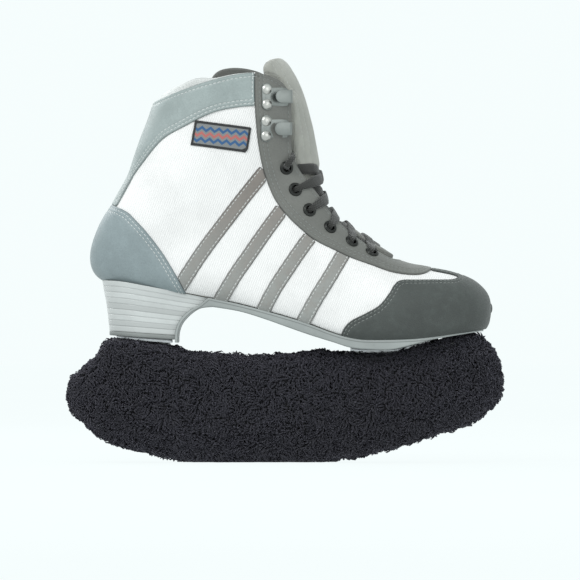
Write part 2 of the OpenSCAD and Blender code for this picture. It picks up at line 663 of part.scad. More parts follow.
module aglet(side) {
    n = len(lace_end_path) - 1;
    frame = lace_end_frames(side, n, n)[0];
    last = lace_end_path[n] - lace_end_path[n - 1];
    way = unit([last[0], 0, last[2]]);
    length = 20;
    color("#2e3232") translate(frame[0]) rotate([0, atan2(way[0], way[2]), 0])
        cylinder(d = 3, h = length, $fn = 24);
}

// The blade's mounting plates lie against the undersides of the sole and of the heel.
sole_plate_x = [42, 106];
heel_plate_x = [-111, -74];
sole_screw_x = [50, 66, 88, 100];
heel_screw_x = [-104, -80];
function heel_z(x) = lookup(x, heel_bottom);
function sole_z(x) = height(under_line, x);

module sole_plate() {
    path = [for (p = spline(under_line)) if (p[0] > sole_plate_x[0] && p[0] < sole_plate_x[1]) p];
    color("silver") difference() {
        intersection() {
            side_solid(concat(raised(path, -gap), reverse(raised(path, -plate_t))), -far, far);
            union() {
                translate([sole_plate_x[1] - sole_plate_half_w, 0, 0])
                    cylinder(r = sole_plate_half_w, h = far, $fn = 64);
                translate([sole_plate_x[0], -sole_plate_half_w, 0])
                    cube([sole_plate_x[1] - sole_plate_x[0] - sole_plate_half_w,
                        2 * sole_plate_half_w, far]);
            }
        }
        screw_bores(sole_screw_places(), 0.2);
    }
}

module heel_plate() {
    color("silver") difference() {
        intersection() {
            side_solid(concat(raised(heel_bottom, -gap), reverse(raised(heel_bottom, -plate_t))),
                -far, far);
            union() {
                translate([heel_plate_x[0] + heel_plate_half_w, 0, 0])
                    cylinder(r = heel_plate_half_w, h = far, $fn = 64);
                translate([heel_plate_x[0] + heel_plate_half_w, -heel_plate_half_w, 0])
                    cube([heel_plate_x[1] - heel_plate_x[0] - heel_plate_half_w,
                        2 * heel_plate_half_w, far]);
            }
        }
        screw_bores(heel_screw_places(), 0.2);
    }
}

function sole_screw_places() = [for (x = sole_screw_x, side = [LATERAL, MEDIAL])
    [x, side * (x > 95 ? 9 : 14.5), sole_z(x) - plate_t]];
function sole_screw_lengths() = [for (p = sole_screw_places())
    height(sole_line, p[0]) + board_t - 0.4 - p[2]];
function heel_screw_places() = [for (x = heel_screw_x, side = [LATERAL, MEDIAL])
    [x, side * (x < -100 ? 9.3 : 12), heel_z(x) - plate_t]];

// Countersunk screws that point up into the sole, with a slot across each head.
module screw_bores(places, room) {
    for (p = places) translate(p - [0, 0, 1.5]) cylinder(d = 4 + 2 * room, h = 8, $fn = 32);
}
module screws(places, lengths) {
    color("gainsboro") for (i = [0 : len(places) - 1]) translate(places[i]) difference() {
        length = lengths[i];
        rotate_extrude($fn = 40) polygon([[0, -1.4], [screw_head_d * 0.3, -1.3],
            [screw_head_d / 2, -0.6], [screw_head_d / 2, 0], [2, 0], [2, length - 3], [0, length]]);
        translate([-screw_head_d, -0.5, -2]) cube([2 * screw_head_d, 1, 1.2]);
    }
}

module blade() {
    color("lightgray") side_solid(concat(blade_bottom, blade_top), -blade_t / 2, blade_t / 2);
}

// A stanchion is a pressed cup that flares from the blade up to its plate.
module stanchion(outline, low, high, low_w, high_w) {
    color("silver") difference() {
        intersection() {
            side_solid(outline, -far, far);
            translate([-far, 0, 0]) rotate([90, 0, 90]) linear_extrude(2 * far)
                polygon([[-low_w, low], [low_w, low], [high_w, high], [high_w, far], [-high_w, far],
                    [-high_w, high]]);
        }
        side_solid(concat(blade_bottom, blade_top), -blade_t / 2 - 0.02, blade_t / 2 + 0.02);
    }
}

module front_stanchion() {
    path = [for (p = spline(under_line)) if (p[0] > 44 && p[0] < 96) p];
    top = reverse(raised(path, -plate_t - 2 * gap));
    stanchion(concat([[44, 68], [49, 58], [52, 47], [54, 40], [80, 40], [83, 48], [89, 60],
        [96, 70]], top), 40, 72, 3.4, 10);
}

module rear_stanchion() {
    top = [for (x = [-75.5, -108]) [x, heel_z(x) - plate_t - gap]];
    stanchion(concat([[-108, 72], [-103, 62], [-98, 48], [-97, 40], [-82, 40], [-81, 50],
        [-78, 62], [-75.5, 72]], top), 40, 76, 3.4, 5.2);
}

// The plush cover: a thick shell with a slot for the blade and pockets for the stanchions.
function cover_section(s) =
    let (c = spline_at(cover_rings, s), widest = 0.46, tall = c[2] - c[1])
    [for (j = [0 : cover_sides - 1])
        let (angle = 360 * j / cover_sides, is_top = cos(angle) >= 0, power = is_top ? 5 : 2.5)
        let (r = pow(pow(abs(cos(angle)), power) + pow(abs(sin(angle)), power), -1 / power))
        [c[0], c[3] * r * sin(angle), c[1] + tall * widest
            + tall * (is_top ? 1 - widest : widest) * r * cos(angle)]];

module cover_body() {
    loft([for (i = [len(cover_rings) - 1 : -1 : 0]) cover_section(i)]);
}

module cover_slot(grow) {
    half = blade_t / 2 + cover_room + grow;
    translate([0, half, 0]) rotate([90, 0, 0]) linear_extrude(2 * half)
        offset(delta = grow) polygon(slot_line);
}

// Room for a stanchion and its plate above the slot, as deep in plan as they are.
module cover_pocket(from_x, to_x, low, foot_half, head_half, plate_half, floor_line, grow) {
    intersection() {
        side_solid([[from_x - grow, far], [from_x - grow, low - grow], [to_x + grow, low - grow],
            [to_x + grow, far]], -far, far);
        translate([-far, 0, 0]) rotate([90, 0, 90]) linear_extrude(2 * far)
            polygon([[-foot_half - grow, low - grow], [foot_half + grow, low - grow],
                [head_half + grow, 72], [head_half + grow, far], [-head_half - grow, far],
                [-head_half - grow, 72]]);
    }
    translate([0, plate_half + 1 + grow, 0]) rotate([90, 0, 0])
        linear_extrude(2 * (plate_half + 1 + grow)) offset(delta = grow)
        polygon(concat([[floor_line[0][0], far]], floor_line,
            [[floor_line[len(floor_line) - 1][0], far]]));
}

module cover_hollow(grow) {
    room = plate_t + 2.3;
    sole_floor = [for (x = [sole_plate_x[0] - 1.2, 50, 60, 70, 80, 90, sole_plate_x[1] + 1.2])
        [x, sole_z(x) - room]];
    heel_floor = [for (x = [heel_plate_x[0] - 1.2, heel_plate_x[1] + 1.2]) [x, heel_z(x) - room]];
    cover_slot(grow);
    cover_pocket(42, 98, 40, 4.6, 11.2, sole_plate_half_w, sole_floor, grow);
    cover_pocket(-110, -73, 40, 4.6, 6.6, heel_plate_half_w, heel_floor, grow);
}

module above_floor() {
    translate([-far, -far, 0]) cube([2 * far, 2 * far, far]);
}

module cover_shell() {
    color("#23252f") difference() {
        mesh() difference() {
            cover_body();
            cover_hollow(cover_lining_t);
            elastic_loop(elastic_d / 2 + gap);
        }
        translate([-far, -far, -20]) cube([2 * far, 2 * far, 20]);
    }
}

module cover_lining() {
    color("#3a3d48") mesh() difference() {
        intersection() {
            cover_hollow(cover_lining_t - gap);
            translate([0, 0, -1]) cover_body();
        }
        cover_hollow(0);
    }
}

// The elastic lies in the hem round the opening: x, distance from the middle, z.
elastic_path = [[-127.5, 0, 60], [-124, 9, 65], [-119, 17.5, 72], [-112, 22.4, 74.5],
    [-98, 23.7, 74], [-80, 23.3, 72.3], [-70, 21.5, 69], [-60, 16, 66.5], [-48, 12, 65],
    [-20, 10, 64.5], [10, 11, 65.5], [26, 15, 66.5], [35.5, 23, 66.8], [44, 26, 66.8],
    [70, 26, 69.5], [92, 25.8, 73.5], [108, 25, 77.5], [116, 20.5, 78], [126, 12.5, 75],
    [133.5, 7.5, 68.5], [137, 0, 62.5]];
module elastic_loop(radius) {
    n = len(elastic_path);
    loop = concat([for (p = elastic_path) p], [for (i = [n - 2 : -1 : 1])
        [elastic_path[i][0], -elastic_path[i][1], elastic_path[i][2]]]);
    count = len(loop);
    sides = 6;
    points = flat([for (i = [0 : count - 1])
        let (way = unit(loop[(i + 1) % count] - loop[(i + count - 1) % count]))
        let (across = unit(cross(way, [0, 0, 1])), up = cross(across, way))
        [for (j = [0 : sides - 1]) loop[i] + radius * (across * cos(360 * j / sides)
            + up * sin(360 * j / sides))]]);
    polyhedron(points, [for (i = [0 : count - 1], j = [0 : sides - 1])
        let (a = i * sides, b = ((i + 1) % count) * sides, k = (j + 1) % sides)
        [a + j, a + k, b + k, b + j]]);
}

module cover_elastic() {
    color("#15161c") elastic_loop(elastic_d / 2);
}

quarter(LATERAL);  // quarter_lateral
quarter(MEDIAL);  // quarter_medial
vamp();
toe_cap();
heel_counter();
collar_band();
eyestay(LATERAL);  // eyestay_lateral
eyestay(MEDIAL);  // eyestay_medial
side_band(LATERAL, 0);  // side_band_lateral_1
side_band(LATERAL, 1);  // side_band_lateral_2
side_band(LATERAL, 2);  // side_band_lateral_3
side_band(LATERAL, 3);  // side_band_lateral_4
side_band(MEDIAL, 0);  // side_band_medial_1
side_band(MEDIAL, 1);  // side_band_medial_2
side_band(MEDIAL, 2);  // side_band_medial_3
side_band(MEDIAL, 3);  // side_band_medial_4
label_patch();
lining();
toe_puff();
counter_stiffener();
tongue_base();
tongue_flap();
insole_board();
footbed();
shank();
outsole();
heel_block();
heel_lift();
eyelets(LATERAL);  // eyelets_lateral
eyelets(MEDIAL);  // eyelets_medial
hook(LATERAL, 0);  // hook_lateral_upper
hook(LATERAL, 1);  // hook_lateral_lower
hook(MEDIAL, 0);  // hook_medial_upper
hook(MEDIAL, 1);  // hook_medial_lower
hook_rivets();
lace();
lace_end(LATERAL);  // lace_end_lateral
lace_end(MEDIAL);  // lace_end_medial
aglet(LATERAL);  // aglet_lateral
aglet(MEDIAL);  // aglet_medial
blade();
front_stanchion();
rear_stanchion();
sole_plate();
heel_plate();
screws(sole_screw_places(), sole_screw_lengths());  // sole_screws
screws(heel_screw_places(), [14, 14, 14, 14]);  // heel_screws
cover_shell();
cover_lining();
cover_elastic();
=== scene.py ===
"""Right-foot ice skate with a plush blade cover: the visible pieces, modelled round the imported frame."""

from functools import cache
from math import atan2, cos, pi, radians, sin, sqrt

import bpy
import numpy as np
from mathutils import Matrix, Vector, noise
from mathutils.bvhtree import BVHTree


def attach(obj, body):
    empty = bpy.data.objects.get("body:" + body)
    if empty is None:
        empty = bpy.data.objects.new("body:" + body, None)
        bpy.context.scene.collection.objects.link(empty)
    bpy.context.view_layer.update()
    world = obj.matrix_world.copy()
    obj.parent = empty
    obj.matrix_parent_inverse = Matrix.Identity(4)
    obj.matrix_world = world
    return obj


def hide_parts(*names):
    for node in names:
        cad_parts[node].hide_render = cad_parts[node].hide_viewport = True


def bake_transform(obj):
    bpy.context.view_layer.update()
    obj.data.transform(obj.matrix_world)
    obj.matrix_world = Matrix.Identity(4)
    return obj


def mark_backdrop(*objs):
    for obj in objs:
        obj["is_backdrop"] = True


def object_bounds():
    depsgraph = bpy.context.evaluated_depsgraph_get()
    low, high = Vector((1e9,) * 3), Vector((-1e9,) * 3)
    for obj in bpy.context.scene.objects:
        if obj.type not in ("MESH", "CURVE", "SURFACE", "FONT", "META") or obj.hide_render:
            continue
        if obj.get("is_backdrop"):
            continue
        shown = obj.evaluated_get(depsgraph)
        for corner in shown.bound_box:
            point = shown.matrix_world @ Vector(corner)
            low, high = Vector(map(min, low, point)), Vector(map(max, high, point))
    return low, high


bl_info = {"name": "Ice skate workshop", "version": (1, 0, 0), "blender": (4, 5, 0),
    "location": "View3D > Sidebar > Skate",
    "description": "Sews, laces and shoes an ice skate, and pulls a plush cover over its blade",
    "category": "Object",}

norm = np.linalg.norm
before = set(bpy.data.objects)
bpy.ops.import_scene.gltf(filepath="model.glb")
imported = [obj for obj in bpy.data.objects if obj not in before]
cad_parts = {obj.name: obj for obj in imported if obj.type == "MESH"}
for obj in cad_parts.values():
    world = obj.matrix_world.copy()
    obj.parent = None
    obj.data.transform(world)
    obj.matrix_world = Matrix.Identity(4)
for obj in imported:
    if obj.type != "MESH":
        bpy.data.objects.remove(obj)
CAD_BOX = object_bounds()
CAD_MESHES = dict(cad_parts)

MM = 0.001
LATERAL, MEDIAL = -1, 1
SIDES = {"lateral": LATERAL, "medial": MEDIAL}

# --- The boot's outer skin ---
# Rings fan out from the toe, round the heel and up the shaft, in millimetres: back x, back z,
# front x, front z, half width, sideways shift, share of the height where the ring is widest, and
# how square it is at its back and at its front.
RINGS = np.array([
    [135.9, 99.5, 135.9, 104.5, 5, 7, 0.5, 2, 2],
    [134.5, 92, 134.5, 110, 16, 6.5, 0.45, 2.6, 2.2],
    [131, 87.5, 131, 115, 25, 6, 0.42, 3.2, 2.2],
    [124, 85, 124, 120.3, 33.5, 5, 0.4, 3.8, 2.3],
    [112, 82.6, 112, 125, 40.5, 3.5, 0.38, 4.4, 2.3],
    [96, 80.2, 96, 128.3, 44.3, 1.5, 0.36, 5, 2.3],
    [78, 79, 79, 132, 45, 0, 0.33, 5, 2.2],
    [60, 78.6, 63.5, 141.2, 43, -1.5, 0.31, 5, 2],
    [42, 80, 50, 150.4, 39.5, -3, 0.31, 4.8, 1.9],
    [20, 86.3, 40.3, 159.3, 36.5, -4, 0.32, 4.6, 1.9],
    [-5, 94, 33.5, 168, 34.5, -4, 0.34, 4.4, 2],
    [-32, 101.8, 29.7, 178, 34, -3, 0.37, 4.2, 2.1],
    [-60, 108, 27.8, 188, 34, -2, 0.4, 4, 2.2],
    [-88, 113.5, 26.2, 197, 34, -1, 0.43, 3.4, 2.3],
    [-110, 117.6, 25, 205, 34, 0, 0.45, 2.7, 2.3],
    [-123.8, 125, 23.6, 213, 34.5, 0, 0.46, 2.3, 2.4],
    [-127, 138, 22, 220.5, 35.5, 0, 0.46, 2.2, 2.4],
    [-121.6, 156, 20, 228, 36.5, 0, 0.46, 2.2, 2.4],
    [-111, 174, 17.8, 236.5, 37, 0, 0.46, 2.2, 2.4],
    [-102, 190, 15.4, 244, 37.2, 0, 0.46, 2.2, 2.4],
    [-96, 208, 12.8, 251, 37.4, 0, 0.46, 2.2, 2.4],
    [-90, 224, 9.4, 258, 37.6, 0, 0.46, 2.2, 2.4],
    [-84.5, 240, 4.2, 265.5, 38, 0, 0.46, 2.2, 2.4],
    [-79, 256, -3, 272, 38.5, 0, 0.46, 2.2, 2.4]])
TOE_RINGS = 5

# Lines of the side view, in millimetres.
SOLE_LINE = [[-132, 121], [-111, 120.3], [-94, 117.6], [-65, 112], [-29, 104.8], [9, 94.3],
             [32, 86], [45, 82.6], [57, 81.5], [82, 82], [104, 84.1], [136, 89.4]]
THROAT_LINE = [
    [80, 133.4], [71, 134.4], [62, 138.8], [48, 148], [37.6, 156.8], [29.3, 166], [22.5, 176.5],
    [14, 187.5], [8.5, 196], [5, 205.5], [4.5, 220], [4.5, 233], [3, 243], [-1.5, 250.8], [-10, 255.2],
    [-18.5, 257.5]]
COLLAR_LINE = [[-18.5, 257.5], [-34, 255.7], [-53, 250.8], [-71, 244.3], [-86, 238], [-100, 232]]
EYESTAY_LINE = [
    [100, 134], [98, 128.5], [93, 125], [84, 124], [70.5, 126], [57.5, 130.5], [43.5, 135.5], [34, 140],
    [21, 146.5], [13, 152.5], [2.5, 162.5], [-6.5, 174.5], [-13, 191], [-16.5, 207], [-18.5, 223.5],
    [-19.5, 242], [-19.5, 262]]
TOE_CAP_LINE = [
    [36.5, 78], [38.5, 87], [43.5, 93.5], [54, 99], [62.5, 104], [68.5, 111], [72.5, 117.3], [77, 120.3],
    [90, 120.5], [104, 120.5], [111, 120.8], [114.6, 122.3], [111, 123.9], [104, 125.4], [97, 127.2],
    [93, 132]]
COUNTER_LINE = [
    [-128, 173], [-116, 171], [-104, 166], [-97.5, 160], [-91, 153], [-85, 145.5], [-78.5, 136.5],
    [-70.5, 123], [-64.5, 112], [-61, 104]]
COLLAR_BAND_LINE = [
    [-17, 235.5], [-29.5, 234.5], [-43, 232], [-53.5, 228], [-67, 221], [-77, 215.5], [-84, 209],
    [-92.5, 198.5], [-98, 191], [-101.5, 185], [-107.5, 174], [-112, 166]]
VAMP_SEAM = [[41, 160], [39, 137.5], [29.5, 122], [20, 107.5], [12, 90], [10, 80]]
BAND_MIDDLES = [[[-8, 198], [-25, 177], [-41.4, 155.6], [-55.5, 136.5], [-72, 111]],
    [[5, 176], [-11.5, 153.5], [-23, 137], [-33, 122.5], [-47, 99]],
    [[24, 158], [13, 143.5], [3, 129], [-7, 113.5], [-16, 96]],
    [[44, 146], [37, 134.5], [29.2, 121.5], [20.5, 107.5], [11, 90]]]
LABEL_CORNERS = [[-58.5, 226], [-21.5, 221.2], [-24, 204.5], [-61.5, 209.5]]
UNDER_LINE = [[-47, 103], [-29, 100], [-12, 94.8], [1.5, 90], [17, 84.6], [33, 79.6], [44, 76.2],
              [57, 75], [70.5, 75], [84, 78], [98, 81.6], [114.5, 84.5], [131, 87]]
EYELET_SPOTS = [(1.3, 194.7), (7.2, 180.2), (16.4, 166.7), (29.9, 155.2), (44.2, 145.6), (57.6, 138.4)]
HOOK_SPOTS = {"upper": (-5.4, 241.4), "lower": (-5.6, 220.6)}
FAR = 150


def spline_at(points, s):
    """Catmull-Rom through the rows of points, at the places s."""
    points = np.asarray(points, float)
    s = np.asarray(s, float)
    last = len(points) - 1
    i = np.clip(np.floor(s).astype(int), 0, last - 1)
    t = (s - i)[..., None]
    a, b = points[np.maximum(i - 1, 0)], points[i]
    c, d = points[i + 1], points[np.minimum(i + 2, last)]
    return 0.5 * (2 * b + (c - a) * t + (2 * a - 5 * b + 4 * c - d) * t * t
                  + (3 * b - a - 3 * c + d) * t ** 3)


def spline(points, steps=6):
    return spline_at(points, np.linspace(0, len(points) - 1, (len(points) - 1) * steps + 1))


def height(line, x):
    smooth = spline(line)
    order = np.argsort(smooth[:, 0])
    return np.interp(x, smooth[order, 0], smooth[order, 1])


def skin(s, turn, off=0.0):
    """Points on ring s at an angle from the ring's front, moved outwards by off."""
    s, turn = np.broadcast_arrays(np.asarray(s, float), np.asarray(turn, float))
    c = spline_at(RINGS, s)
    toe = np.radians(90 * np.minimum(s / TOE_RINGS, 1))
    ahead, out = off * np.cos(toe), off * np.sin(toe)
    back = np.stack([c[..., 0] + ahead, c[..., 1]], -1)
    front = np.stack([c[..., 2] + ahead, c[..., 3]], -1)
    length = norm(front - back, axis=-1)
    way = (front - back) / length[..., None]
    wide = c[..., 6] * length
    is_front = np.cos(turn) >= 0
    power = np.where(is_front, c[..., 8], c[..., 7])
    r = (np.abs(np.cos(turn)) ** power + np.abs(np.sin(turn)) ** power) ** (-1 / power)
    along = wide + np.where(is_front, length - wide + out, wide + out) * r * np.cos(turn)
    x = back[..., 0] + way[..., 0] * along
    z = back[..., 1] + way[..., 1] * along
    return np.stack([x, c[..., 5] + (c[..., 4] + out) * r * np.sin(turn), z], -1)


def spot(x, z):
    """The ring through a place of the side view, and the angle on it."""
    low, high = 0.0, len(RINGS) - 1.0
    for _ in range(24):
        s = (low + high) / 2
        c = spline_at(RINGS, s)
        ahead = (c[2] - c[0]) * (z - c[1]) - (c[3] - c[1]) * (x - c[0]) > 0
        low, high = (s, high) if ahead else (low, s)
    back, chord = c[:2], c[2:4] - c[:2]
    length = norm(chord)
    wide = c[6] * length
    q = (np.array([x, z]) - back) @ chord / length - wide
    half, power = (length - wide, c[8]) if q >= 0 else (wide, c[7])
    y = max(0.0, 1 - min(abs(q) / half, 1) ** power) ** (1 / power)
    return s, atan2(y, q / half)


def on_skin(x, z, side, off=0.0):
    s, turn = spot(x, z)
    return skin(s, side * turn, off)


def frame_at(x, z, side, off=0.0):
    """A matrix on the skin, in metres: +Z outwards and +X towards the toe."""
    p = on_skin(x, z, side)
    u = on_skin(x + 1, z, side) - p
    v = on_skin(x, z + 1, side) - p
    n = np.cross(u, v) * -side
    n /= norm(n)
    ahead = np.cross([0, 0, 1], n) * -side
    ahead /= norm(ahead)
    up = np.cross(n, ahead)
    place = (p + n * off) * MM
    return Matrix([[ahead[k], up[k], n[k], place[k]] for k in range(3)] + [[0, 0, 0, 1]])


class SkinGrid:
    """A fine grid of the skin: points, outward normals, and a distance field for any outline."""

    def __init__(self, row_steps=15, around=172, toe_rows=7):
        rows = np.linspace(0, len(RINGS) - 1, (len(RINGS) - 1) * row_steps + 1)
        turns = np.linspace(-pi, pi, around, endpoint=False)
        body = skin(rows[:, None], turns[None, :])
        first, middle = body[0], body[0].mean(0)
        cap = []
        for k in range(toe_rows):
            share = radians(90 * k / toe_rows)
            ring = middle + (first - middle) * sin(max(share, 0.02))
            ring[:, 0] += 0.9 * cos(share)
            cap.append(ring)
        self.points = np.concatenate([cap, body])
        along = np.gradient(self.points, axis=0)
        wrapped = np.concatenate([self.points[:, -1:], self.points, self.points[:, :1]], 1)
        across = wrapped[:, 2:] - wrapped[:, :-2]
        n = np.cross(across, along)
        n /= np.maximum(norm(n, axis=-1, keepdims=True), 1e-9)
        n[0] = (1, 0, 0)
        self.normals = n
        self.count, self.around = self.points.shape[:2]

    def flat(self):
        return self.points.reshape(-1, 3), self.normals.reshape(-1, 3)

    def cells(self):
        i, j = np.meshgrid(np.arange(self.count - 1), np.arange(self.around), indexing="ij")
        k = (j + 1) % self.around
        a, b = i * self.around + j, i * self.around + k
        return np.stack([a, a + self.around, b + self.around, b], -1).reshape(-1, 4)

    def distance(self, outline):
        """How far inside an outline of the side view each grid point is, along the skin."""
        points, normals = self.flat()
        at = points[:, [0, 2]]
        value, way = signed_distance(at, np.asarray(outline, float))
        lean = (normals[:, [0, 2]] * way).sum(1)
        return value / np.sqrt(np.maximum(1 - lean ** 2, 0.12))


def signed_distance(at, outline):
    """Distance from each point to a closed outline, positive inside, and its direction."""
    a = outline
    b = np.roll(outline, -1, 0)
    d = b - a
    span = np.maximum((d ** 2).sum(1), 1e-12)
    best = np.full(len(at), 1e18)
    way = np.zeros_like(at)
    inside = np.zeros(len(at), bool)
    for k in range(len(a)):
        rel = at - a[k]
        t = np.clip(rel @ d[k] / span[k], 0, 1)
        gap = rel - t[:, None] * d[k]
        size = (gap ** 2).sum(1)
        closer = size < best
        best[closer] = size[closer]
        way[closer] = gap[closer]
        crosses = (a[k, 1] > at[:, 1]) != (b[k, 1] > at[:, 1])
        if crosses.any():
            x = a[k, 0] + (at[:, 1] - a[k, 1]) / (d[k, 1] if d[k, 1] else 1e-9) * d[k, 0]
            inside ^= crosses & (at[:, 0] < x)
    reach = np.sqrt(best)
    way /= np.maximum(reach, 1e-9)[:, None]
    return np.where(inside, reach, -reach), way


GRID = SkinGrid()


def closed(*lines):
    return np.concatenate([np.asarray(line, float) for line in lines])


UPPER = closed(spline(SOLE_LINE), [[FAR, 90], [FAR, FAR], [86, FAR]], spline(THROAT_LINE),
               spline(COLLAR_LINE), [[-FAR, 232], [-FAR, 121]])
FACING = closed(spline(EYESTAY_LINE)[::-1], [[100, 290], [-19.5, 290]])
THROAT = closed(spline(THROAT_LINE), [[-18.5, 290], [FAR, 290], [FAR, 134]])
TOE_CAP = closed(spline(TOE_CAP_LINE), [[93, FAR], [FAR, FAR], [FAR, 78]])
COUNTER = closed(spline(COUNTER_LINE), [[-61, 78], [-FAR, 78], [-FAR, 173]])
COLLAR = closed(spline(COLLAR_BAND_LINE), [[-FAR, 166], [-FAR, 290], [-17, 290]])
VAMP = closed(spline(VAMP_SEAM), [[10, 0], [FAR, 0], [FAR, FAR + 30], [41, FAR + 30]])


def strip(line, width):
    p = spline(line, 8)
    way = np.gradient(p, axis=0)
    way /= norm(way, axis=1, keepdims=True)
    out = np.stack([-way[:, 1], way[:, 0]], 1) * width / 2
    return np.concatenate([p + out, (p - out)[::-1]])


class Sheet:
    """A patch of the skin that is cut along the level lines of its fields, as leather is."""

    def __init__(self, fields):
        cells = GRID.cells()
        self.faces = cells[(fields["edge"][cells] > -2.5).any(1)]
        self.names = list(fields)
        self.data = np.column_stack([*GRID.flat(), *fields.values()])
        self.drop_unused()

    def drop_unused(self):
        """Keeps only the points that a face uses."""
        used = np.unique(self.faces[self.faces >= 0])
        back = np.full(len(self.data), -1)
        back[used] = np.arange(len(used))
        self.data = self.data[used]
        self.faces = np.where(self.faces >= 0, back[self.faces], -1)

    def column(self, name):
        return 6 + self.names.index(name)

    def value(self, name):
        return self.data[:, self.column(name)]

    def cut(self, name, level, snap=0.07):
        """Splits the faces along the line where a field has this value."""
        col = self.column(name)
        f = self.data[:, col] - level
        f[np.abs(f) < snap] = 0
        self.data[:, col] = f + level
        sign = np.sign(f)
        masked = np.where(self.faces >= 0, sign[self.faces], np.nan)
        low, high = np.nanmin(masked, 1), np.nanmax(masked, 1)
        crossed = (low < 0) & (high > 0)
        extra, made, new_faces = [], {}, []
        base = len(self.data)

        def between(a, b):
            key = (a, b) if a < b else (b, a)
            if key not in made:
                t = f[key[0]] / (f[key[0]] - f[key[1]])
                row = self.data[key[0]] * (1 - t) + self.data[key[1]] * t
                row[col] = level
                made[key] = base + len(extra)
                extra.append(row)
            return made[key]

        for face in self.faces[crossed]:
            ring = [v for v in face if v >= 0]
            above, below = [], []
            for k, v in enumerate(ring):
                w = ring[(k + 1) % len(ring)]
                if sign[v] >= 0:
                    above.append(v)
                if sign[v] <= 0:
                    below.append(v)
                if sign[v] * sign[w] < 0:
                    m = between(v, w)
                    above.append(m)
                    below.append(m)
            for part in (above, below):
                while len(part) > 4:
                    new_faces.append(part[:3] + [-1])
                    part = [part[0]] + part[2:]
                if len(part) == 4:
                    new_faces.append(part)
                elif len(part) == 3:
                    new_faces.append(part + [-1])
        if extra:
            self.data = np.vstack([self.data, extra])
            self.faces = np.vstack([self.faces[~crossed], new_faces])

    def trim(self, name, level=0.0):
        """Cuts along a level line and throws away what lies below it."""
        self.cut(name, level)
        f = self.value(name) - level
        held = np.where(self.faces >= 0, f[self.faces], np.nan)
        self.faces = self.faces[np.nanmax(held, 1) > 1e-9]
        self.drop_unused()

    def level_lines(self, name, level):
        """Chains the edges that lie on a cut line, as rows of point numbers."""
        on = np.abs(self.value(name) - level) < 1e-6
        links = {}
        for face in self.faces[np.where(self.faces >= 0, on[self.faces], False).sum(1) >= 2]:
            ring = [v for v in face if v >= 0]
            for k, v in enumerate(ring):
                w = ring[(k + 1) % len(ring)]
                if on[v] and on[w]:
                    links.setdefault(v, set()).add(w)
                    links.setdefault(w, set()).add(v)
        return chains(links)


def chains(links):
    """Walks a graph of links into open and closed rows."""
    rows, left = [], {v: set(w) for v, w in links.items()}
    starts = sorted(v for v in left if len(left[v]) == 1) + sorted(left)
    for start in starts:
        if not left[start]:
            continue
        row, at = [start], start
        while left[at]:
            to = min(left[at])
            left[at].discard(to)
            left[to].discard(at)
            row.append(to)
            at = to
        if len(row) > 2:
            rows.append(row)
    return rows


# --- Making objects ---
def deselect():
    if bpy.context.mode != "OBJECT":
        bpy.ops.object.mode_set(mode="OBJECT")
    bpy.ops.object.select_all(action="DESELECT")


def activate(piece):
    deselect()
    bpy.context.view_layer.objects.active = piece
    piece.select_set(True)


def placed(name, data):
    """A new object in the scene for a mesh, or for a camera."""
    piece = bpy.data.objects.new(name, data)
    bpy.context.scene.collection.objects.link(piece)
    return piece


def object_from(name, points, faces):
    """A smooth object from points in metres and faces whose unused corners are -1."""
    mesh = bpy.data.meshes.new(name)
    rows = [[int(v) for v in face if v >= 0] for face in faces]
    mesh.from_pydata([tuple(p) for p in np.asarray(points, float)], [], rows)
    mesh.validate()
    mesh.polygons.foreach_set("use_smooth", [True] * len(mesh.polygons))
    mesh.update()
    return placed(name, mesh)


def settle(piece, body, finish, nodes=()):
    """Gives a piece its body, its finish, and the CAD nodes that it stands for."""
    piece.data.materials.clear()
    piece.data.materials.append(FINISHES[finish])
    if body:
        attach(piece, body)
    if nodes:
        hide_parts(*nodes)
    return piece


def apply_modifier(piece, kind, **settings):
    activate(piece)
    bpy.ops.object.modifier_add(type=kind)
    modifier = piece.modifiers[-1]
    for key, value in settings.items():
        setattr(modifier, key, value)
    bpy.ops.object.modifier_apply(modifier=modifier.name)


def smooth_by_angle(piece, degrees=35):
    activate(piece)
    bpy.ops.object.shade_smooth_by_angle(angle=radians(degrees))


def edit_all(piece):
    """Opens a piece for editing, with all of it selected."""
    activate(piece)
    bpy.ops.object.mode_set(mode="EDIT")
    bpy.ops.mesh.select_all(action="SELECT")


def close_edit():
    bpy.ops.object.mode_set(mode="OBJECT")


def turn_outward(piece, merge=0.0):
    """Turns every face outwards, after merging points that are closer than merge."""
    edit_all(piece)
    if merge:
        bpy.ops.mesh.remove_doubles(threshold=merge)
    bpy.ops.mesh.normals_make_consistent(inside=False)
    close_edit()


def joined(parts):
    """Joins the parts into the first of them."""
    deselect()
    for part in parts:
        part.select_set(True)
    bpy.context.view_layer.objects.active = parts[0]
    if len(parts) > 1:
        bpy.ops.object.join()
    return parts[0]


def mark(piece, name, values):
    """Gives every point of a piece a number that its finish reads."""
    data = piece.data.attributes.new(name, "FLOAT", "POINT").data
    data.foreach_set("value", np.asarray(values, np.float32).ravel())


def tube_sides(rows, around, loop=False):
    """The side faces of a tube of rings, which may run round into a loop."""
    return [[i * around + j, i * around + (j + 1) % around,
             (i + 1) % rows * around + (j + 1) % around, (i + 1) % rows * around + j]
            for i in range(rows if loop else rows - 1) for j in range(around)]


def tube_faces(rows, around):
    """The faces of a tube of rings that is closed at both ends."""
    return tube_sides(rows, around) + [list(range(around))[::-1],
                                       [(rows - 1) * around + j for j in range(around)]]


def rim_faces(faces, shift):
    """Walls between the open edges of a sheet and of its copy, shift points further on."""
    ring = [[int(v) for v in face if v >= 0] for face in faces]
    ways = {(v, f[(k + 1) % len(f)]) for f in ring for k, v in enumerate(f)}
    return [[b, a, a + shift, b + shift] for a, b in sorted(ways) if (b, a) not in ways]


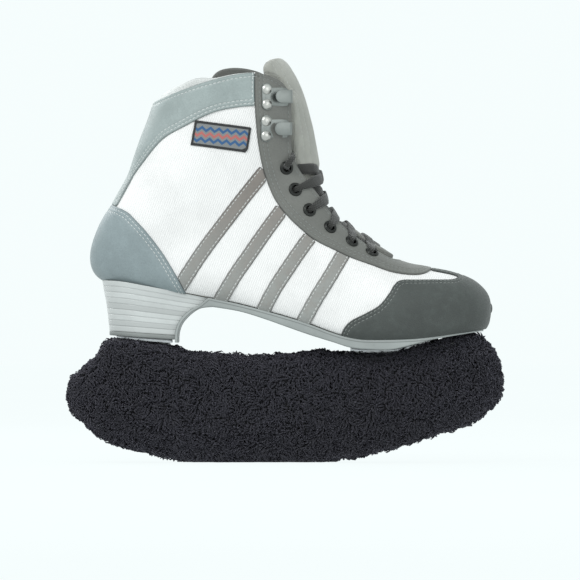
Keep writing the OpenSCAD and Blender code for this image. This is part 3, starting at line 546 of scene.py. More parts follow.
def turned_round(faces):
    """The faces with their corners in the other order, the unused ones still last."""
    turned = faces[:, ::-1].copy()
    tris = turned[:, 0] < 0
    turned[tris] = np.roll(turned[tris], -1, 1)
    return turned


PANEL = {"edge": 0.9}
GAP = 0.05  # between the edges of neighbouring panels, in millimetres
SEAM_HALF = 0.65


def sewn_panel(name, keep, finish, nodes, slot, seams=(), top=1.2, low=0.05, puff=0.25,
               body="boot", edge_round=None, roll=0.0, swell=None, **lines):
    """One panel: a sheet of skin cut to shape, with a rounded edge and drawn-in seams.

    Its top and low faces are this far off the skin, and each seam runs at a distance from one of
    the lines. Returns the piece and the seams' rows of points and normals in millimetres."""
    edge_round = edge_round or PANEL["edge"]
    sheet = Sheet({"edge": keep, **lines})
    for share in (0.2, 0.5, 1.0):
        sheet.cut("edge", share * edge_round)
    for field, distance in seams:
        for step in (-SEAM_HALF, 0, SEAM_HALF):
            sheet.cut(field, distance + step)
    sheet.trim("edge")
    inner = np.clip(sheet.value("edge"), 0, None)
    round_off = 1 - np.sqrt(np.clip(1 - (1 - np.minimum(inner / edge_round, 1)) ** 2, 0, 1))
    top, low = (np.broadcast_to(v(sheet) if callable(v) else v, inner.shape) for v in (top, low))
    rise = top + puff * (1 - np.exp(-inner / 4)) - (top - low) * (0.6 - roll / 5) * round_off
    for field, distance in seams:
        rise -= 0.34 * np.exp(-((sheet.value(field) - distance) / 0.5) ** 2)
    points, normals = sheet.data[:, :3], sheet.data[:, 3:6]
    normals = normals / norm(normals, axis=1, keepdims=True)
    if swell is not None:
        rise = rise + swell(points) * (1 - round_off)
    outer = points + normals * rise[:, None]
    below = points + normals * (low + (top - low) * roll * round_off)[:, None]
    faces = turned_round(sheet.faces)
    count = len(points)
    back = faces[:, ::-1] + np.where(faces[:, ::-1] >= 0, count, 0)
    rows = [[v for v in f if v >= 0] for f in faces.tolist()]
    rows += [[v for v in f if v >= 0] for f in back.tolist()]
    rows += rim_faces(faces, count)
    piece = object_from(name, np.vstack([outer, below]) * MM, rows)
    mark(piece, "edge", np.concatenate([inner, inner * 0]))
    settle(piece, body, finish, nodes)
    return piece, [(outer[row], normals[row]) for field, distance in seams
                   for row in sheet.level_lines(field, distance)]


def capsule():
    """One stitch's shape, 2 across each way: a low sphere drawn out into a capsule."""
    bpy.ops.mesh.primitive_uv_sphere_add(segments=6, ring_count=4, radius=1)
    ball = bpy.context.active_object
    points = np.array([v.co[:] for v in ball.data.vertices])
    faces = [list(p.vertices) for p in ball.data.polygons]
    bpy.data.meshes.remove(ball.data)
    points = points[:, [2, 1, 0]]
    points[:, 0] = np.sign(points[:, 0]) * np.abs(points[:, 0]) ** 0.7
    return points, [f[::-1] for f in faces]


STITCH = {"pitch": 2.9, "length": 2.15, "width": 0.52, "height": 0.42}
deselect()
CAPSULE = capsule()


def resample(points, normals, pitch):
    """Places at an even pitch along a row, with the way the row runs there."""
    step = norm(np.diff(points, axis=0), axis=1)
    run = np.concatenate([[0], np.cumsum(step)])
    count = int(run[-1] / pitch)
    if count < 1:
        return None
    at = (np.arange(count) + 0.5) * run[-1] / count
    place = np.stack([np.interp(at, run, points[:, k]) for k in range(3)], 1)
    ahead = np.stack([np.interp(at + 0.8, run, points[:, k]) for k in range(3)], 1)
    behind = np.stack([np.interp(at - 0.8, run, points[:, k]) for k in range(3)], 1)
    out = np.stack([np.interp(at, run, normals[:, k]) for k in range(3)], 1)
    way = ahead - behind
    return place, way / norm(way, axis=1, keepdims=True), out


def thread(name, rows, finish, body="boot", keep=None, **sizes):
    """Stitches along rows of points: one capsule each, all in one piece."""
    size = {**STITCH, **sizes}
    shape, shape_faces = CAPSULE
    points, faces = [], []
    rng = np.random.default_rng(7)
    for row, normals in rows:
        laid = resample(row, normals, size["pitch"])
        if laid is None:
            continue
        for p, way, out in zip(*laid):
            if keep is not None and not keep(p):
                continue
            out = out - way * (out @ way)
            out /= norm(out)
            side = np.cross(out, way)
            side = side + way * rng.uniform(-0.06, 0.06)
            length = size["length"] * rng.uniform(0.94, 1.06) / 2
            base = len(points) * len(shape)
            points.append(p + out * 0.1 + shape[:, :1] * way * length
                          + shape[:, 1:2] * side * size["width"] / 2
                          + shape[:, 2:] * out * size["height"] / 2)
            faces += [[v + base for v in f] for f in shape_faces]
    piece = object_from(name, np.vstack(points) * MM, faces)
    return settle(piece, body, finish)


# --- Finishes ---
class Wire:
    """A shader socket that can be used in sums: each sum adds its Math node."""

    def __init__(self, finish, socket):
        self.finish = finish
        self.socket = socket

    def math(self, operation, *others, clamp=False):
        return self.finish.add("Math", {"operation": operation, "use_clamp": clamp},
                               {k: v for k, v in enumerate((self,) + others)})

    def __add__(self, other):
        return self.math("ADD", other)

    __radd__ = __add__

    def __mul__(self, other):
        return self.math("MULTIPLY", other)

    __rmul__ = __mul__

    def __sub__(self, other):
        return self.math("SUBTRACT", other)

    def __rsub__(self, other):
        return self.finish.add("Math", {"operation": "SUBTRACT"}, {0: other, 1: self})

    def sine(self):
        return self.math("SINE")

    def size(self):
        return self.math("ABSOLUTE")

    def between(self, low, high):
        """0 below low, 1 above high, and smooth in between."""
        return self.finish.add("MapRange", {"interpolation_type": "SMOOTHSTEP"},
                               {"Value": self, "From Min": low, "From Max": high}, "Result")

    def held(self):
        return self.math("ADD", 0.0, clamp=True)


class Finish:
    """A material, with short ways to fill its node tree."""

    def __init__(self, name, **constants):
        self.material = bpy.data.materials.new(name)
        self.material.use_nodes = True
        self.tree = self.material.node_tree
        self.tree.nodes.clear()
        output = self.tree.nodes.new("ShaderNodeOutputMaterial")
        self.shader = self.tree.nodes.new("ShaderNodeBsdfPrincipled")
        self.tree.links.new(self.shader.outputs[0], output.inputs["Surface"])
        for key, value in constants.items():
            self.shader.inputs[key.replace("_", " ")].default_value = value
        self.place = self.add("TexCoord", {}, {}, "Object")
        self.x, self.y, self.z = self.axes(self.place)

    def axes(self, vector):
        node = self.tree.nodes.new("ShaderNodeSeparateXYZ")
        self.tree.links.new(vector.socket, node.inputs[0])
        return [Wire(self, node.outputs[k]) for k in range(3)]

    def add(self, kind, settings, inputs, out=0):
        """A node of any kind: its settings first, then its sockets' values or links."""
        node = self.tree.nodes.new("ShaderNode" + kind)
        for key, value in settings.items():
            if key == "stops":
                ramp = node.color_ramp
                while len(ramp.elements) < len(value):
                    ramp.elements.new(0.5)
                for element, (place, colour) in zip(ramp.elements, value):
                    element.position = place
                    element.color = (*colour, 1)
            else:
                setattr(node, key, value)
        for key, value in inputs.items():
            socket = node.inputs[key]
            if isinstance(value, Wire):
                self.tree.links.new(value.socket, socket)
            elif isinstance(value, tuple) and len(value) == 3 and socket.type == "RGBA":
                socket.default_value = (*value, 1)
            else:
                socket.default_value = value
        return Wire(self, node.outputs[out])

    def noise(self, scale, detail=3.0, rough=0.5):
        return self.add(
            "TexNoise", {}, {"Vector": self.place, "Scale": scale, "Detail": detail, "Roughness": rough})

    def cells(self, scale):
        return self.add(
            "TexVoronoi", {"feature": "SMOOTH_F1"}, {"Vector": self.place, "Scale": scale}, "Distance")

    def attribute(self, name):
        return self.add("Attribute", {"attribute_name": name}, {}, "Fac")

    def mix(self, share, a, b):
        return self.add("Mix", {"data_type": "RGBA"}, {0: share, 6: a, 7: b}, 2)

    def link(self, key, wire):
        self.tree.links.new(wire.socket, self.shader.inputs[key])

    def done(self, tone, rough, height, depth):
        """Wires up the colour, roughness and height, and gives the material."""
        self.link("Base Color", tone)
        self.link("Roughness", rough.held())
        self.link(
            "Normal",
            self.add("Bump", {}, {"Height": height, "Distance": depth, "Strength": 1.0}, "Normal"))
        return self.material


def shade(colour, factor):
    return tuple(min(c * factor, 1) for c in colour)


def leather(name, colour, grain=1100, depth=0.00022, roughness=0.52, mottle=0.16, warm=None):
    f = Finish(name, IOR=1.5, Sheen_Weight=0.08)
    broad = f.noise(28, 3)
    patch = f.noise(190, 4, 0.6)
    tone = f.mix(broad.between(0.3, 0.7), shade(colour, 1 - mottle), shade(colour, 1 + mottle))
    tone = f.mix(patch.between(0.42, 0.75) * 0.4, tone, shade(warm or colour, 1.25))
    pebble = f.cells(grain)
    fine = f.noise(grain * 2.6, 4, 0.65)
    edge = f.attribute("edge")
    dark = 1 - edge.between(0.0, 1.3)
    tone = f.mix(dark * 0.55, tone, shade(colour, 0.42))
    tone = f.mix(pebble.between(0.25, 0.75) * 0.22, tone, shade(colour, 0.6))
    return f.done(
        tone, patch * 0.22 + pebble * 0.12 + (roughness - 0.14), pebble * -0.6 + fine * 0.35, depth)


RIB_PITCH = 0.0014
RIB_LEAN = radians(70)


def ribbed_textile(name, colour):
    f = Finish(name, Sheen_Weight=0.25, Sheen_Roughness=0.5)
    across = f.x * sin(RIB_LEAN) - f.z * cos(RIB_LEAN)
    along = f.x * cos(RIB_LEAN) + f.z * sin(RIB_LEAN)
    wander = f.noise(60, 2) * 0.5
    rib = ((across * (2 * pi / RIB_PITCH)) + wander).sine() * 0.5 + 0.5
    yarn = (along * (2 * pi / 0.0009) + (across * (pi / RIB_PITCH))).sine() * 0.5 + 0.5
    fuzz = f.noise(2600, 3, 0.6)
    soil = f.noise(34, 4, 0.6)
    tone = f.mix(soil.between(0.35, 0.75) * 0.6, shade(colour, 1.06), shade(colour, 0.86))
    tone = f.mix((1 - rib) * 0.4, tone, shade(colour, 0.7))
    tone = f.mix(fuzz.between(0.5, 0.8) * 0.12, tone, shade(colour, 1.2))
    edge = f.attribute("edge")
    tone = f.mix((1 - edge.between(0.0, 2.0)) * 0.35, tone, shade(colour, 0.45))
    return f.done(tone, fuzz * 0.2 + 0.68, rib * 0.7 + yarn * rib * 0.25 + fuzz * 0.2, 0.00025)


def suede(name, low_colour, high_colour):
    f = Finish(name, Sheen_Weight=0.35, Sheen_Roughness=0.4)
    climb = f.z.between(0.095, 0.195)
    nap = f.noise(900, 5, 0.7)
    brushed = f.noise(150, 3, 0.6)
    tone = f.mix(climb, low_colour, high_colour)
    tone = f.mix(brushed.between(0.35, 0.7) * 0.35, tone, shade(high_colour, 1.3))
    tone = f.mix(nap.between(0.45, 0.7) * 0.3, tone, shade(low_colour, 0.62))
    dark = 1 - f.attribute("edge").between(0.0, 0.9)
    tone = f.mix(dark * 0.8, tone, (0.035, 0.033, 0.033))
    return f.done(tone, nap * 0.15 + 0.74, nap, 0.0003)


def speckled(name, colour, scale, detail, dark, light, roughness, depth, **constants):
    """A plain finish, with a little noise in its colour, roughness and height."""
    f = Finish(name, **constants)
    speck = f.noise(scale, detail)
    return f.done(
        f.mix(speck.between(0.3, 0.7), shade(colour, dark), shade(colour, light)), speck * 0.2 + roughness,
        speck, depth)


def sewing_thread(name, colour):
    return speckled(name, colour, 1800, 2, 0.8, 1, 0.5, 0.0002, Sheen_Weight=0.2)


def woven_label(name, low, high):
    """A woven patch: a dark rim, a ground of twill, and two rows of small zigzags."""
    f = Finish(name, Sheen_Weight=0.2)
    along = f.x * cos(-0.1) + f.z * sin(-0.1)
    across = f.z * cos(-0.1) - f.x * sin(-0.1) - 0.2101
    twill = ((along + across) * (2 * pi / 0.0012)).sine() * 0.5 + 0.5
    zigzag = f.add("Math", {"operation": "PINGPONG"}, {0: along, 1: 0.0028})
    tone = f.mix(twill * 0.5, (0.16, 0.17, 0.175), (0.26, 0.27, 0.27))
    for lift, dye in ((-0.0011, high), (0.0025, low), (-0.0047, low)):
        row = (across - zigzag * 0.8 - lift).size().between(0.0007, 0.0013)
        tone = f.mix(1 - row, tone, dye)
    tone = f.mix(1 - f.attribute("edge").between(1.5, 2.0), tone, (0.012, 0.013, 0.014))
    return f.done(tone, twill * 0.2 + 0.6, twill, 0.0002)


def woven(name, colour, pitch, low=None):
    """A plain weave that runs along the object's own axes."""
    f = Finish(name, Sheen_Weight=0.3, Sheen_Roughness=0.5)
    turn = 2 * pi / pitch
    warp = ((f.x + f.y * 0.7) * turn).sine() * 0.5 + 0.5
    weft = ((f.z + f.y * 0.7) * turn).sine() * 0.5 + 0.5
    weave = warp * weft
    worn = f.noise(45, 4, 0.6)
    tone = f.mix(worn.between(0.3, 0.75), shade(colour, 0.75), shade(colour, 1.1))
    tone = f.mix((1 - weave) * 0.3, tone, shade(colour, 0.55))
    # A low colour, where given, is painted shade: a darker copy of the weave below 155 mm, blending back
    # by 200 mm.
    if low:
        tone = f.mix(f.z.between(0.155, 0.2), low, tone)
    return f.done(tone, worn * 0.2 + 0.7, weave + f.noise(1800, 3) * 0.4, 0.0003)


def cord_weave(name, colour):
    """Flat braid: u runs along the lace in metres and v across it."""
    f = Finish(name, Sheen_Weight=0.35, Sheen_Roughness=0.45)
    along, across, _ = f.axes(f.add("UVMap", {"uv_map": "braid"}, {}))
    one = ((along + across) * (2 * pi / 0.0016)).sine() * 0.5 + 0.5
    two = ((along - across) * (2 * pi / 0.0016)).sine() * 0.5 + 0.5
    braid = one * two
    fuzz = f.noise(2400, 3, 0.6)
    worn = f.noise(70, 3)
    tone = f.mix(worn.between(0.3, 0.7), shade(colour, 0.8), shade(colour, 1.25))
    tone = f.mix(braid.between(0.1, 0.9), shade(colour, 0.5), tone)
    tone = f.mix(fuzz.between(0.5, 0.8) * 0.3, tone, shade(colour, 1.9))
    return f.done(tone, fuzz * 0.2 + 0.66, braid + fuzz * 0.4, 0.0004)


def metal(name, colour, roughness):
    f = Finish(name, Metallic=1.0)
    brushed = f.noise(900, 3, 0.6)
    smudge = f.noise(60, 4, 0.6)
    tone = f.mix(smudge.between(0.3, 0.75), shade(colour, 0.75), colour)
    return f.done(
        f.mix(brushed * 0.2, tone, shade(colour, 0.7)),
        smudge * 0.12 + brushed * 0.12 + (roughness - 0.12), brushed, 0.00004)


def rubber(name, colour, roughness=0.45, line=None):
    """Sole rubber; a thin darker line runs where the layer attribute has the given value."""
    f = Finish(name)
    broad = f.noise(22, 4, 0.6)
    fine = f.noise(700, 4, 0.6)
    tone = f.mix(broad.between(0.3, 0.7), shade(colour, 0.86), shade(colour, 1.08))
    scuff = f.noise(130, 5, 0.7)
    tone = f.mix(scuff.between(0.58, 0.75) * 0.35, tone, shade(colour, 0.6))
    if line is not None:
        near = 1 - (f.attribute("layer") - line).size().between(0.15, 0.4)
        tone = f.mix(near * 0.7, tone, shade(colour, 0.35))
    return f.done(tone, fine * 0.15 + broad * 0.1 + (roughness - 0.1), fine, 0.00012)


def stacked(name, colour, layers):
    """Pressed heel layers: each with its own tone and a dark line at its joint."""
    f = Finish(name, IOR=1.5)
    stack = f.attribute("layer") * layers
    whole = stack.math("FLOOR")
    tint = f.add("TexWhiteNoise", {"noise_dimensions": "1D"}, {"W": whole})
    part = stack - whole
    joint = 1 - (part.between(0.0, 0.16) * (1 - part.between(0.9, 1.0)))
    grain = f.noise(500, 3, 0.6)
    broad = f.noise(40, 4, 0.6)
    tone = f.mix(tint, shade(colour, 0.82), shade(colour, 1.12))
    tone = f.mix(broad.between(0.3, 0.7) * 0.5, tone, shade(colour, 0.8))
    tone = f.mix(joint * 0.34, tone, shade(colour, 0.5))
    return f.done(tone, grain * 0.12 + joint * 0.15 + 0.16, 1 - joint + grain * 0.1, 0.00014)


def plush(name, colour, tip):
    f = Finish(name, Sheen_Weight=0.3, Sheen_Roughness=0.45, Sheen_Tint=(0.55, 0.52, 0.66, 1))
    clump = f.noise(120, 3, 0.6)
    broad = f.noise(16, 3, 0.6)
    tone = f.mix(clump.between(0.3, 0.7), shade(colour, 0.6), shade(colour, 1.3))
    # Lighter towards the tufts' tips: partly lint, partly painted sheen.
    tone = f.mix(f.attribute("tip").between(0.35, 1.0) * 0.8, tone, tip)
    tone = f.mix(broad.between(0.35, 0.75) * 0.4, tone, shade(colour, 0.5))
    return f.done(tone, clump * 0.2 + 0.75, f.noise(2200, 3, 0.6), 0.0003)


def fibre_board(name, colour):
    f = Finish(name)
    flecks = f.noise(700, 5, 0.8)
    broad = f.noise(60, 3)
    tone = f.mix(broad, shade(colour, 0.85), shade(colour, 1.1))
    tone = f.mix(flecks.between(0.5, 0.7) * 0.4, tone, shade(colour, 0.5))
    return f.done(tone, flecks * 0.2 + 0.7, flecks, 0.0002)


FINISHES = {}
HEEL_LAYERS = 9


def make_finishes(look):
    """Fills FINISHES from the colours in the panel."""
    dye = {key: tuple(getattr(look, key)) for key in look.__annotations__}
    FINISHES.update(white=ribbed_textile("white_ribbed_textile", dye["textile"]),
        toe=leather("toe_leather", dye["toe"], 1500, 0.00026, 0.6, 0.12, shade(dye["toe"], 1.5)),
        counter=leather("counter_leather", dye["counter"], 1300, 0.00014, 0.5, 0.07),
        collar=leather("collar_leather", dye["collar"], 1300, 0.00014, 0.46, 0.1),
        facing=leather("facing_leather", dye["facing"], 1200, 0.00018, 0.52, 0.1),
        band=suede("band_suede", dye["band_low"], dye["band"]),
        thread=sewing_thread("sewing_thread", (0.62, 0.64, 0.63)),
        grey_thread=sewing_thread("grey_thread", (0.2, 0.215, 0.205)),
        tongue_thread=sewing_thread("tongue_thread", (0.45, 0.46, 0.43)),
        label=woven_label("woven_label", (0.02, 0.086, 0.21), (0.39, 0.117, 0.106)),
        lining=woven("lining_fabric", (0.74, 0.76, 0.75), 0.0012),
        # The tongue's low colour is its own dye at 0.29: painted shade on the tongue's lower part, deep in
        # the throat.
        tongue=woven("tongue_fabric", dye["tongue"], 0.0010, low=(0.12, 0.122, 0.11)),
        footbed=woven("footbed_fabric", (0.28, 0.31, 0.33), 0.0013),
        board=fibre_board("fibre_board", (0.42, 0.34, 0.24)), lace=cord_weave("lace_braid", dye["lace"]),
        aglet=speckled("aglet_plastic", (0.02, 0.022, 0.022), 300, 3, 0.85, 1.15, 0.2, 0.00005, IOR=1.46),
        gunmetal=metal("gunmetal", (0.042, 0.044, 0.042), 0.36),
        nickel=metal("nickel", (0.27, 0.29, 0.28), 0.4),
        rivet=metal("rivet_nickel", (0.6, 0.6, 0.57), 0.34),
        steel=metal("pressed_steel", (0.62, 0.64, 0.66), 0.3),
        blade=metal("blade_steel", (0.7, 0.72, 0.74), 0.16),
        sole=rubber("sole_rubber", dye["sole"], line=1.7),
        heel=stacked("heel_layers", dye["heel"], HEEL_LAYERS),
        lift=rubber("lift_rubber", (0.2, 0.215, 0.21), 0.6),
        # The pile's tip colour is a lighter copy of the cover dye, partly lint and partly painted sheen;
        # the backing is a darker copy, painted shade under the tufts.
        plush=plush("plush_pile", dye["cover"], shade(dye["cover"], 2.1)),
        backing=plush("plush_backing", shade(dye["cover"], 0.6), dye["cover"]),
        cover_lining=woven("cover_lining", (0.03, 0.032, 0.042), 0.0012),
        elastic=woven("cover_elastic", (0.014, 0.014, 0.018), 0.0010))


def side_field(side):
    """How far each grid point lies on one side of the boot's middle."""
    return GRID.flat()[0][:, 1] * side - 0.05


def eyelet_field(radius):
    """How far each grid point is outside the eyelets' holes."""
    points = GRID.flat()[0]
    value = np.full(len(points), 99.0)
    for side in SIDES.values():
        for x, z in EYELET_SPOTS:
            value = np.minimum(value, norm(points - on_skin(x, z, side), axis=1) - radius)
    return value


def least(*fields):
    return np.minimum.reduce(fields)


@cache
def panel_fields():
    """The distance fields that the panels are cut by, all over the skin's grid."""
    raised = np.array(spline(SOLE_LINE)) + [0, 4.5]
    lip = np.array(spline(COLLAR_LINE))
    white_rim = np.exp(-((lip[:, 0] + 72) / 21) ** 4) * 5.2
    lip[:, 1] += white_rim + 0.3
    shell = closed(
        raised, [[FAR, 90], [FAR, FAR], [86, FAR]], spline(THROAT_LINE), lip, [[-FAR, 234], [-FAR, 121]])
    fields = {name: GRID.distance(outline) for name, outline in
              dict(upper=UPPER, facing=FACING, throat=THROAT, toe=TOE_CAP, counter=COUNTER,
                   collar=COLLAR, vamp=VAMP, label=np.array(LABEL_CORNERS), shell=shell).items()}
    fields.update(lateral=side_field(LATERAL), medial=side_field(MEDIAL), holes=eyelet_field(2.9))
    for i, middle in enumerate(BAND_MIDDLES):
        fields[f"strip{i}"] = GRID.distance(strip(middle, 9.5))
    return fields


def ripple(scale, depth, seed=0):
    """A slow unevenness of the skin, in millimetres."""
    def swell(points):
        return np.array([noise.noise(Vector(p) / scale + Vector((seed, 0, 0))) for p in points]) * depth
    return swell


def make_quarters(fields):
    for name, side in SIDES.items():
        keep = least(fields["upper"], fields[name], -fields["vamp"] - 0.02, fields["holes"])
        sewn_panel("sewn_quarter_" + name, keep, "white", ["quarter_" + name], "white_textile",
                   top=0.0, low=-1.8, puff=0.1, swell=ripple(17, 0.25, side))


def make_vamp(fields):
    keep = least(fields["upper"], fields["vamp"] - 0.02, fields["holes"])
    sewn_panel("sewn_vamp", keep, "white", ["vamp"], "white_textile", top=0.0, low=-1.8, puff=0.1,
               swell=ripple(17, 0.25))


def make_toe_cap(fields):
    keep = least(fields["upper"], fields["toe"], -fields["facing"] - GAP)
    _, rows = sewn_panel(
        "sewn_toe_cap", keep, "toe", ["toe_cap"], "toe_leather", (("line", 1.5), ("line", 3.6)),
        swell=ripple(15, 0.2), line=fields["toe"])
    thread("toe_cap_stitches", rows, "grey_thread")


def make_counter(fields):
    keep = least(fields["upper"], fields["counter"])
    _, rows = sewn_panel(
        "sewn_counter", keep, "counter", ["heel_counter"], "counter_leather",
        (("line", 2.0), ("line", 4.3)), swell=ripple(22, 0.2), line=fields["counter"])
    thread("counter_stitches", rows, "thread")


def make_collar(fields):
    keep = least(fields["upper"], fields["collar"], -fields["facing"] - GAP, -fields["counter"] - GAP)
    _, rows = sewn_panel(
        "sewn_collar_band", keep, "collar", ["collar_band"], "collar_leather",
        (("line", 1.9), ("line", 4.2), ("rim", 2.6)), puff=0.5, swell=ripple(12, 0.35),
        line=fields["collar"], rim=fields["upper"])
    thread("collar_stitches", rows, "thread")


def make_eyestays(fields):
    for name, side in SIDES.items():
        keep = least(fields["upper"], fields["facing"], fields[name], fields["holes"])
        _, rows = sewn_panel(
            "sewn_eyestay_" + name, keep, "facing", ["eyestay_" + name], "facing_leather",
            (("line", 3.0), ("line", 6.0), ("rim", 2.6)), puff=0.4, swell=ripple(14, 0.3, side),
            line=fields["facing"], rim=fields["upper"])
        spots = [on_skin(x, z, side) for x, z in EYELET_SPOTS]
        thread("eyestay_stitches_" + name, rows, "grey_thread",
               keep=lambda p, at=spots: min(norm(p - q) for q in at) > 5.2)


def make_bands(fields):
    for name in SIDES:
        rows = []
        for i in range(len(BAND_MIDDLES)):
            keep = least(fields[f"strip{i}"], fields["upper"], -fields["facing"] - GAP,
                         -fields["counter"] - GAP, fields[name])
            _, more = sewn_panel(
                f"sewn_band_{name}_{i + 1}", keep, "band", [f"side_band_{name}_{i + 1}"], "band_suede",
                (("line", 1.5),), top=1.0, puff=0.3, line=fields[f"strip{i}"])
            rows += more
        thread("band_stitches_" + name, rows, "thread")


def make_label(fields):
    keep = least(fields["label"], fields["lateral"])
    sewn_panel("sewn_label", keep, "label", ["label_patch"], "woven_label", top=1.15, puff=0.1)


FAR_LIP = [[-52, 244], [-50, 251], [-47.5, 257], [-43, 260.6], [-36, 262.2], [-28, 262.2],
           [-20, 260.8], [-14.5, 258.8], [-11.5, 256.4], [-12, 250], [-18, 246]]


def make_far_lip(fields):
    """The inner side's padded lip, which stands a little higher than the outer side's. Its dark facing
    leather is painted shade on the inside of the collar.
    """
    keep = least(GRID.distance(closed(spline(FAR_LIP))), fields["medial"])
    # The dark facing finish is painted shade: the inner collar lies in shadow here.
    sewn_panel("sewn_collar_lip", keep, "facing", [], "facing_leather", top=0.4, low=-3.4,
               puff=0.2, edge_round=1.4, roll=0.5)


def make_lining(fields):
    keep = least(fields["shell"], -fields["facing"] - 2 * GAP)
    sewn_panel("padded_lining", keep, "lining", ["lining"], "lining_fabric", top=-1.9, low=-6.2,
               puff=0.1, edge_round=2.4, roll=0.55, swell=ripple(14, 0.4))


TONGUE_HALF = 23.5
TONGUE_TOP = [[-28, 249], [-10.5, 250], [-9.8, 257], [-9.4, 263.5], [-7.4, 268], [-3, 270.2],
              [1.6, 268.8], [6.3, 264.6], [11.6, 257.6], [30, 250]]


def soft_step(value, low, high):
    share = np.clip((value - low) / (high - low), 0, 1)
    return share * share * (3 - 2 * share)


def make_tongue(fields):
    """The tongue: under the facings up to the hinge, and free above it."""
    points = GRID.flat()[0]
    half = TONGUE_HALF + 7 * soft_step(points[:, 2], 240, 252) - np.abs(points[:, 1])
    free = least(
        GRID.distance(closed(spline(TONGUE_TOP), [[30, 190], [-40, 190]])), half, fields["throat"] - 1)
    held = least(np.maximum(fields["throat"] - 2.4, fields["facing"]), 199.7 - points[:, 2])
    keep = np.maximum(free, held)

    def top(sheet):
        x, z = sheet.data[:, 0], sheet.data[:, 2]
        forward = soft_step(x, 32, 48) * soft_step(-x, -84, -72)
        pressed = soft_step(-z, -199, -192) * soft_step(-x, -44, -32)
        return -4.7 + (2.4 - 2 * pressed + 3.9 * forward) * soft_step(sheet.value("throat"), 2.4, 5)

    def low(sheet):
        return -8.7 - 1.5 * np.clip((sheet.value("throat") - 2.4) / 2.6, 0, 1)

    piece, rows = sewn_panel(
        "padded_tongue", keep, "tongue", ["tongue_base", "tongue_flap"], "tongue_fabric",
        (("side", 4.2), ("side", 8.4)), top, low, 0.0, body=None, edge_round=2.6, roll=0.45,
        swell=ripple(16, 0.5), throat=fields["throat"], side=half)
    thread("tongue_stitches", rows, "tongue_thread", body=None, keep=lambda p: p[2] > 207, height=0.4)
    at = coordinates(piece) / MM
    sewn = np.concatenate([row for row, _ in rows])
    held = np.array([((sewn - p) ** 2).sum(1).min() < 2 for p in at]) | (at[:, 2] < 206)
    inflate(piece, 4.0, 0.7, held)
    for name in ("padded_tongue", "tongue_stitches"):
        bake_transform(bpy.data.objects[name])


def grid_solid(name, top, bottom):
    """A closed solid between two grids of points, in millimetres, with the same layout."""
    rows, columns = top.shape[:2]
    count = rows * columns
    faces = []
    for i in range(rows - 1):
        for j in range(columns - 1):
            a, b = i * columns + j, (i + 1) * columns + j
            faces.append([a, b, b + 1, a + 1])
            faces.append([a + 1 + count, b + 1 + count, b + count, a + count])
    border = ([i * columns for i in range(rows)] + [(rows - 1) * columns + j for j in range(1, columns)]
              + [i * columns + columns - 1 for i in range(rows - 2, -1, -1)]
              + [j for j in range(columns - 2, 0, -1)])
    for k, a in enumerate(border):
        b = border[(k + 1) % len(border)]
        faces.append([b, a, a + count, b + count])
    points = np.concatenate([top.reshape(-1, 3), bottom.reshape(-1, 3)])
    piece = object_from(name, points * MM, faces)
    turn_outward(piece, 1e-5)
    return piece


def plan_at(x, lift, off):
    """The two edges of the boot's inside or outside at a place along the sole line."""
    s, turn = spot(x, float(height(SOLE_LINE, x)) + lift)
    return skin(s, LATERAL * turn, off)[1], skin(s, MEDIAL * turn, off)[1]


def make_footbed():
    low_x, high_x = -110.2, 122.6
    share = (1 - np.cos(np.linspace(0, pi, 84))) / 2
    xs = low_x + (high_x - low_x) * share
    across = np.sin(np.linspace(-pi / 2, pi / 2, 31))
    top, bottom = [], []
    for x in xs:
        lateral, medial = plan_at(x, 1, -6.35)
        pinch = sqrt(max(1 - (abs(2 * (x - low_x) / (high_x - low_x) - 1)) ** 26, 0))
        middle, half = (lateral + medial) / 2, (medial - lateral) / 2 * pinch
        base = float(height(SOLE_LINE, x))
        for rows, rise in ((top, 5.9), (bottom, 2.1)):
            edge = 1 - np.abs(across)
            soft = np.exp(-edge * half / 1.3) * 1.4 if rise > 3 else edge * 0
            cup = np.exp(-edge * half / 7) * 0.2 if rise > 3 else edge * 0
            rows.append(np.stack([np.full(31, x), middle + across * half, base + rise - soft + cup], 1))
    piece = grid_solid("cushioned_footbed", np.array(top), np.array(bottom))
    settle(piece, "boot", "footbed", ["footbed"])


